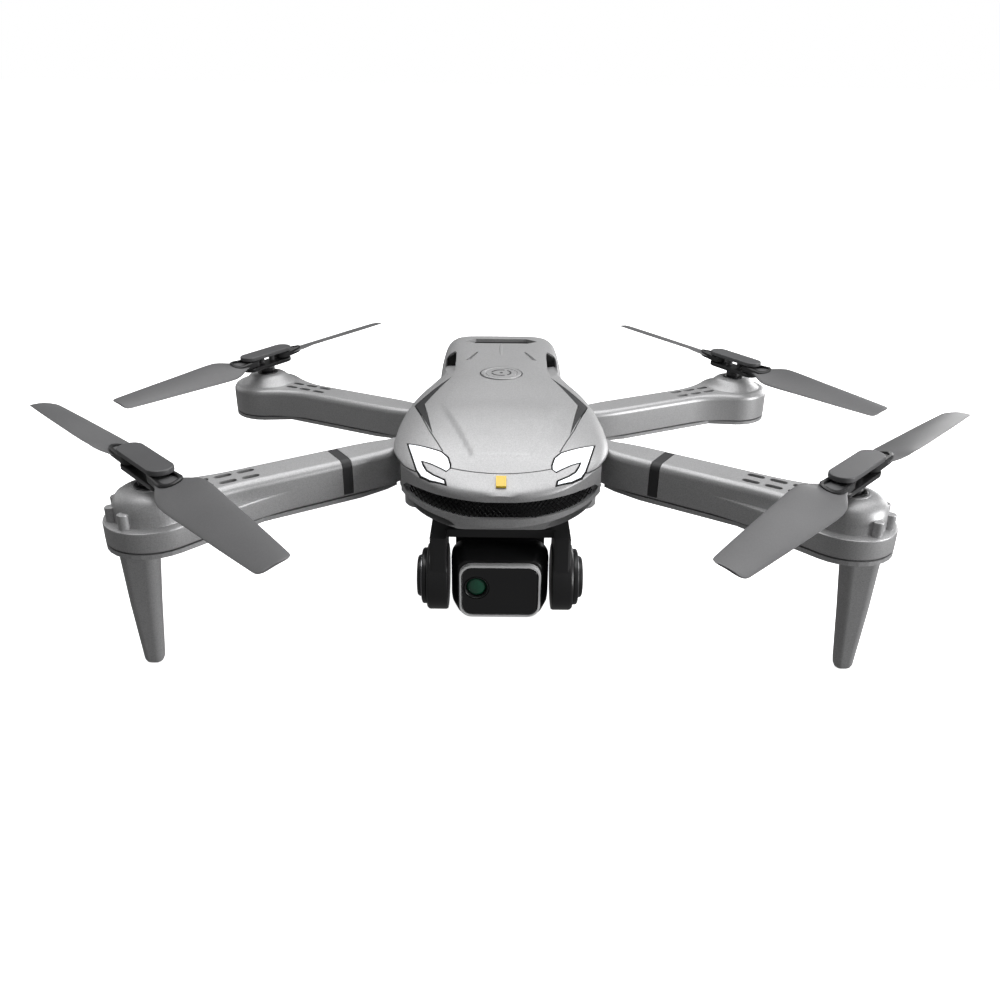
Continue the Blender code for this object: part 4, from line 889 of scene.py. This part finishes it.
ARMS = [
    ("front", (25.5, -23.6), (90.7, -66.75), 37.9, 48.7, 9.8, 15.0),
    ("rear", (24.0, 33.0), (92.4, 66.75), 27.0, 37.4, 13.2, 15.0),
]
POD_PROFILES = {
    "front": [
        (9.8, 42.0), (9.8, 46.6), (9.62, 48.0), (9.1, 49.2), (8.3, 50.1), (7.2, 50.8), (5.9, 51.25), (4.6, 51.4),
        (4.45, 51.6), (3.4, 51.6),
    ],
    "rear": [
        (13.0, 30.0), (13.2, 33.2), (13.05, 34.6), (12.6, 35.7), (11.9, 36.6), (11.0, 37.2), (10.0, 37.7), (9.0, 38.3),
        (8.1, 39.1), (7.2, 40.0), (6.3, 40.6), (5.2, 40.9), (4.0, 41.0), (3.4, 41.0),
    ],
}
for end, pivot, rotor, bottom, top, pod_radius, flare in ARMS:
    length = math.dist(pivot, rotor)
    profile = POD_PROFILES[end]
    pod_top = profile[-1][1]
    for side, word in SIDES:
        put, where, axis = arm_place(pivot, rotor, side), f"{end}_{word}", (side * rotor[0], rotor[1])
        levels = [(bottom, pod_radius, flare, 0.35), (bottom + 0.35, pod_radius, flare, 0.0)]
        if end == "front":
            levels = [(z, radius, SKIRT_FLARE, inset) for z, radius, inset in (
                (bottom, SKIRT_RADIUS, 0.5), (bottom + 0.15, SKIRT_RADIUS, 0.2), (bottom + 0.5, SKIRT_RADIUS, 0.0),
                (SKIRT_TOP, SKIRT_RADIUS, 0.0), (43.4, 12.45, 0.0), (43.6, 12.0, 0.0),
            )]
            levels += [(43.65, 9.9, flare, 0.0), (43.9, pod_radius, flare, 0.0)]
        for i in range(8):
            tip = math.pi / 2 * i / 7
            inset = ARM_ROUNDING * (1 - math.cos(tip))
            levels.append((top - ARM_ROUNDING * (1 - math.sin(tip)), pod_radius, flare, inset))
        loops = [[(x, y, z) for x, y in arm_plan(length, *shape)] for z, *shape in levels]
        arm = wrapped(f"arm_{where}", put_loops(put, loops))
        cut(arm, revolved("pod", axis, profile), "UNION")
        if end == "front":
            for lean in (-66, -28, 10):
                angle = math.radians(lean)
                foot = (axis[0] + side * 10.1 * math.cos(angle), axis[1] + 10.1 * math.sin(angle))
                boss = [(1.5, 43.2), (1.5, 47.2), (1.35, 47.5), (1.0, 47.6)]
                cut(arm, revolved("boss", foot, boss, 20), "UNION")
        wide = (SKIRT_RADIUS, SKIRT_FLARE) if end == "front" else (pod_radius, flare)
        hollow = [(bottom - 2, *wide), (top - 2.0, pod_radius, flare)]
        if end == "front":
            hollow[1:1] = [(42.1, *wide), (42.4, pod_radius, flare)]
        loops = [[(x, y, z) for x, y in arm_plan(length, *shape, ARM_WALL, True)] for z, *shape in hollow]
        cut(arm, wrapped("hollow", put_loops(put, loops)))
        cut(arm, plate("pin_hole", round_points((side * pivot[0], pivot[1]), 2.2, 20), bottom - 5, top + 5))
        cut(arm, plate("motor_well", round_points(axis, 7.0), top - 3, pod_top - 2.2))
        cut(arm, plate("shaft_hole", round_points(axis, SHAFT_HOLE), top - 3, pod_top + 3))
        for row in (-2.2, 2.2):
            for number in range(3):
                slot = slot_plan(length - 13.2 - 6.3 * number, row, 1.5, 0.95)
                cut(arm, wrapped("slot", put_loops(put, raised(slot, top - 4, top + 4))))
        # A near-black plate under each row of slots is painted shade: it makes the slots look dark, as if the arm's
        # inside were in shadow.
        slot_shade_outline = slot_plan(length - 19.0, 0, 8.6, 4.2)
        slot_shade_plate = wrapped(f"painted_slot_shade_{where}", put_loops(put, raised(slot_shade_outline, top - 2.5, top - 2.05)))
        fitted(slot_shade_plate, near_black_and_painted_shade, "black_plastic", f"arm_{where}")
        if end == "front":
            start, stop = BAND_DISTANCE - BAND_WIDTH / 2, BAND_DISTANCE + BAND_WIDTH / 2
            groove = [band_loop(x, bottom, top, 3.0, 0.8) for x in (start - 0.15, stop + 0.15)]
            cut(arm, wrapped("band_groove", put_loops(put, groove)))
            band = [band_loop(x, bottom, top, -0.05, BAND_DEPTH) for x in (start, stop)]
            band_piece = wrapped(f"band_{where}", put_loops(put, band))
            fitted(band_piece, dull_inlay, "dark_inlay", f"arm_{where}", f"arm_band_{where}")
        fitted(arm, satin_silver, "silver_shell", f"arm_{where}", f"arm_shell_{where}")
        coated(f"arm_cover_{where}", satin_silver)

# ---------------------------------------------------------------- landing legs
# A flat tapered leg under each front pod, lacquered like the arm and moulded with a round foot. It plugs into the
# pod's skirt.

LEG = [
    (35.8, 93.6, -72.4, 5.2, 3.2), (20.0, 94.5, -71.8, 4.1, 2.7), (3.0, 95.2, -71.0, 2.8, 2.1),
    (1.4, 95.27, -71.0, 2.62, 1.98), (0.5, 95.3, -71.0, 2.2, 1.6), (0.12, 95.3, -71.0, 1.7, 1.2),
    (0.0, 95.3, -71.0, 1.1, 0.7),
]
for side, word in SIDES:
    loops = []
    for z, x, y, half_width, half_depth in LEG:
        section = round_box(0, half_width, half_depth, half_depth * 0.92, 0)
        loops.append([(side * (x + across), y + deep, z) for across, _, deep in section])
    leg = wrapped(f"leg_front_{word}", loops)
    fitted(leg, satin_silver, "silver_shell", f"arm_front_{word}", f"landing_leg_front_{word}")

# ---------------------------------------------------------------- rotors
# Each rotor is a dark grey clamp of two round-ended plates on the motor shaft, with two folding blades pinned between
# them. The blades are thin satin nylon mouldings, twisted along their length, with a raised black loop at the root.

CAP_BEARINGS = {"front": 46.7, "rear": 122.4}
PROP_HEIGHTS = {"front": 56.5, "rear": 46.5}
BLADE_PIVOT, BLADE_LENGTH = 8.6, 59.8
BASE_EDGES = [(-2.9, 0.35), (-2.7, 0.08), (-2.5, 0.0), (-1.7, 0.0), (-1.5, 0.08), (-1.4, 0.3)]
CAP_EDGES = [(1.5, 0.3), (1.6, 0.08), (1.75, 0.0), (2.65, 0.0), (2.88, 0.08), (2.97, 0.2), (3.0, 0.36)]
CLAMP_BASE_RADIUS, CLAMP_CAP_RADIUS, CUFF_MIDDLE, CUFF_HALF_LENGTH, CUFF_RADIUS = 3.2, 3.5, 2.6, 3.1, 3.2
CHORDS = [
    (-2.6, 1.2), (-2.0, 2.0), (-1.0, 2.6), (0.0, 2.8), (3.0, 3.1), (5.0, 3.7), (7.5, 5.0), (10.0, 6.0), (12.5, 6.4),
    (16.0, 6.5), (22.0, 6.25), (28.0, 5.9), (35.0, 5.55), (42.0, 5.2), (49.0, 4.8), (54.5, 4.45), (57.1, 4.28),
    (57.9, 4.12), (58.35, 3.9), (58.65, 3.5), (58.85, 3.0), (58.9, 2.4),
]
THICKNESSES = [(0, 1.1), (8, 1.3), (15, 1.2), (30, 1.0), (45, 0.8), (BLADE_LENGTH, 0.5)]
hub_grey = moulded("hub_grey_nylon", (0.085, 0.085, 0.088), (0.100, 0.100, 0.103), 4200, (0.36, 0.46), 0.00001)
blade_grey = moulded(
    "blade_grey_nylon", (0.120, 0.120, 0.123), (0.140, 0.140, 0.143), 3400, (0.34, 0.44), 0.000008, 0.0, 0.0, 0.06
)


def blade_loop(x, half, spin):
    """One section of a blade: a thin cambered foil, pitched to suit the way the rotor turns."""
    share = max(0.0, x) / BLADE_LENGTH
    pitch = spin * math.radians(20 - 8 * share) * min(1.0, max(0.0, x) / 12)
    thick = along_table(THICKNESSES, x)
    loop = []
    for i in range(28):
        angle = math.tau * i / 28
        chord = half * math.cos(angle)
        rise = thick / 2 * math.sin(angle) * (1 - 0.25 * math.cos(angle) * spin) + 0.25 * (1 - math.cos(angle) ** 2)
        flat, tall = math.cos(pitch), math.sin(pitch)
        loop.append((x, chord * flat - rise * tall, chord * tall + rise * flat))
    return loop


def turned_about(centre, bearing):
    """Turns points in a rotor part's own frame into points about the middle of the hull."""
    def put(x, y, z):
        return (
            centre[0] + x * math.cos(bearing) - y * math.sin(bearing),
            centre[1] + x * math.sin(bearing) + y * math.cos(bearing), centre[2] + z,
        )

    return put


def clamp_plate(name, put, radius, edges):
    """One round-ended plate of a clamp. Its edge steps are (height over the blades' plane, inset)."""
    loops = [raised(slot_plan(0, 0, BLADE_PIVOT, radius - inset, 16), z)[0] for z, inset in edges]
    return wrapped(name, put_loops(put, loops))


for end, _, rotor, *_ in ARMS:
    prop_z, seat = PROP_HEIGHTS[end], POD_PROFILES[end][-1][1]
    for side, word in SIDES:
        where, spin = f"{end}_{word}", side * (-1 if end == "front" else 1)
        bearing = math.radians(CAP_BEARINGS[end] if side > 0 else 180 - CAP_BEARINGS[end])
        centre = (side * rotor[0], rotor[1])
        put = turned_about((*centre, prop_z), bearing)
        base = clamp_plate(f"clamp_base_{where}", put, CLAMP_BASE_RADIUS, BASE_EDGES)
        shaft = [(2.3, seat - 2.4), (2.3, seat + 0.6), (2.8, seat + 1.0), (2.8, prop_z - 3.4), (2.3, prop_z - 2.0)]
        cut(base, revolved("shaft", centre, shaft, 32), "UNION")
        for reach in (BLADE_PIVOT, -BLADE_PIVOT):
            pin = put(reach, 0, 0)[:2]
            cut(base, revolved("pin", pin, [(1.2, prop_z - 1.8), (1.2, prop_z + 1.0)], 20), "UNION")
        fitted(base, satin_black, "hub_grey", f"rotor_{where}", f"hub_base_{where}")
        cap = clamp_plate(f"clamp_cap_{where}", put, CLAMP_CAP_RADIUS, CAP_EDGES)
        for reach in (2.6, -2.6):
            post = put(reach, 0, 0)[:2]
            cut(cap, revolved("post", post, [(1.1, prop_z - 1.1), (1.1, prop_z + 2.0)], 20), "UNION")
        fitted(cap, hub_grey, "hub_grey", f"rotor_{where}", f"hub_cap_{where}")
        collar = [(3.0, seat - 0.9), (3.9, seat - 0.9), (3.9, seat + 0.15), (3.7, seat + 0.3), (3.1, seat + 0.3),
                  (3.0, seat + 0.2), (3.0, seat - 0.9)]
        collar_ring = revolved(f"shaft_collar_{where}", centre, collar)
        fitted(collar_ring, satin_black, "black_plastic", f"arm_{where}")
        for reach, letter in ((1, "a"), (-1, "b")):
            swing = -side * reach * math.radians(2.4) if end == "front" else 0.0
            pivot_at = put(reach * BLADE_PIVOT, 0, 0)
            put_blade = turned_about(pivot_at, bearing + (0 if reach > 0 else math.pi) + swing)
            blade_body = f"blade_{where}_{letter}"
            foil = [blade_loop(x, half, spin) for x, half in CHORDS]
            blade = wrapped(f"foil_{where}_{letter}", put_loops(put_blade, foil))
            cut(blade, plate("pivot_hole", round_points(pivot_at[:2], 1.5, 20), prop_z - 4, prop_z + 4))
            fitted(blade, blade_grey, "blade_grey", blade_body, blade_body)
            cuff_loops = []
            for z, inset in ((-0.95, 0.2), (-0.75, 0.0), (1.05, 0.0), (1.3, 0.3)):
                plan = slot_plan(CUFF_MIDDLE, 0, CUFF_HALF_LENGTH, CUFF_RADIUS - inset, 12)
                tilt = [math.tan(spin * math.radians(20) * min(1.0, max(0.0, x - 2.0) / 9)) for x, y in plan]
                cuff_loops.append([
                    (x, y, z + y * rise + 0.035 * max(0.0, x - 3.5)) for (x, y), rise in zip(plan, tilt)
                ])
            cuff = wrapped(f"cuff_{where}_{letter}", put_loops(put_blade, cuff_loops))
            window = slot_plan(CUFF_MIDDLE, 0, CUFF_HALF_LENGTH, 2.25, 12)
            cut(cuff, wrapped("window", put_loops(put_blade, raised(window, -3.0, 3.0))))
            fitted(cuff, satin_black, "black_plastic", blade_body)

# The blanks that the hull's pieces were cut from are done with.
for blank in (hull_skin, hull_inside):
    bpy.data.objects.remove(blank)
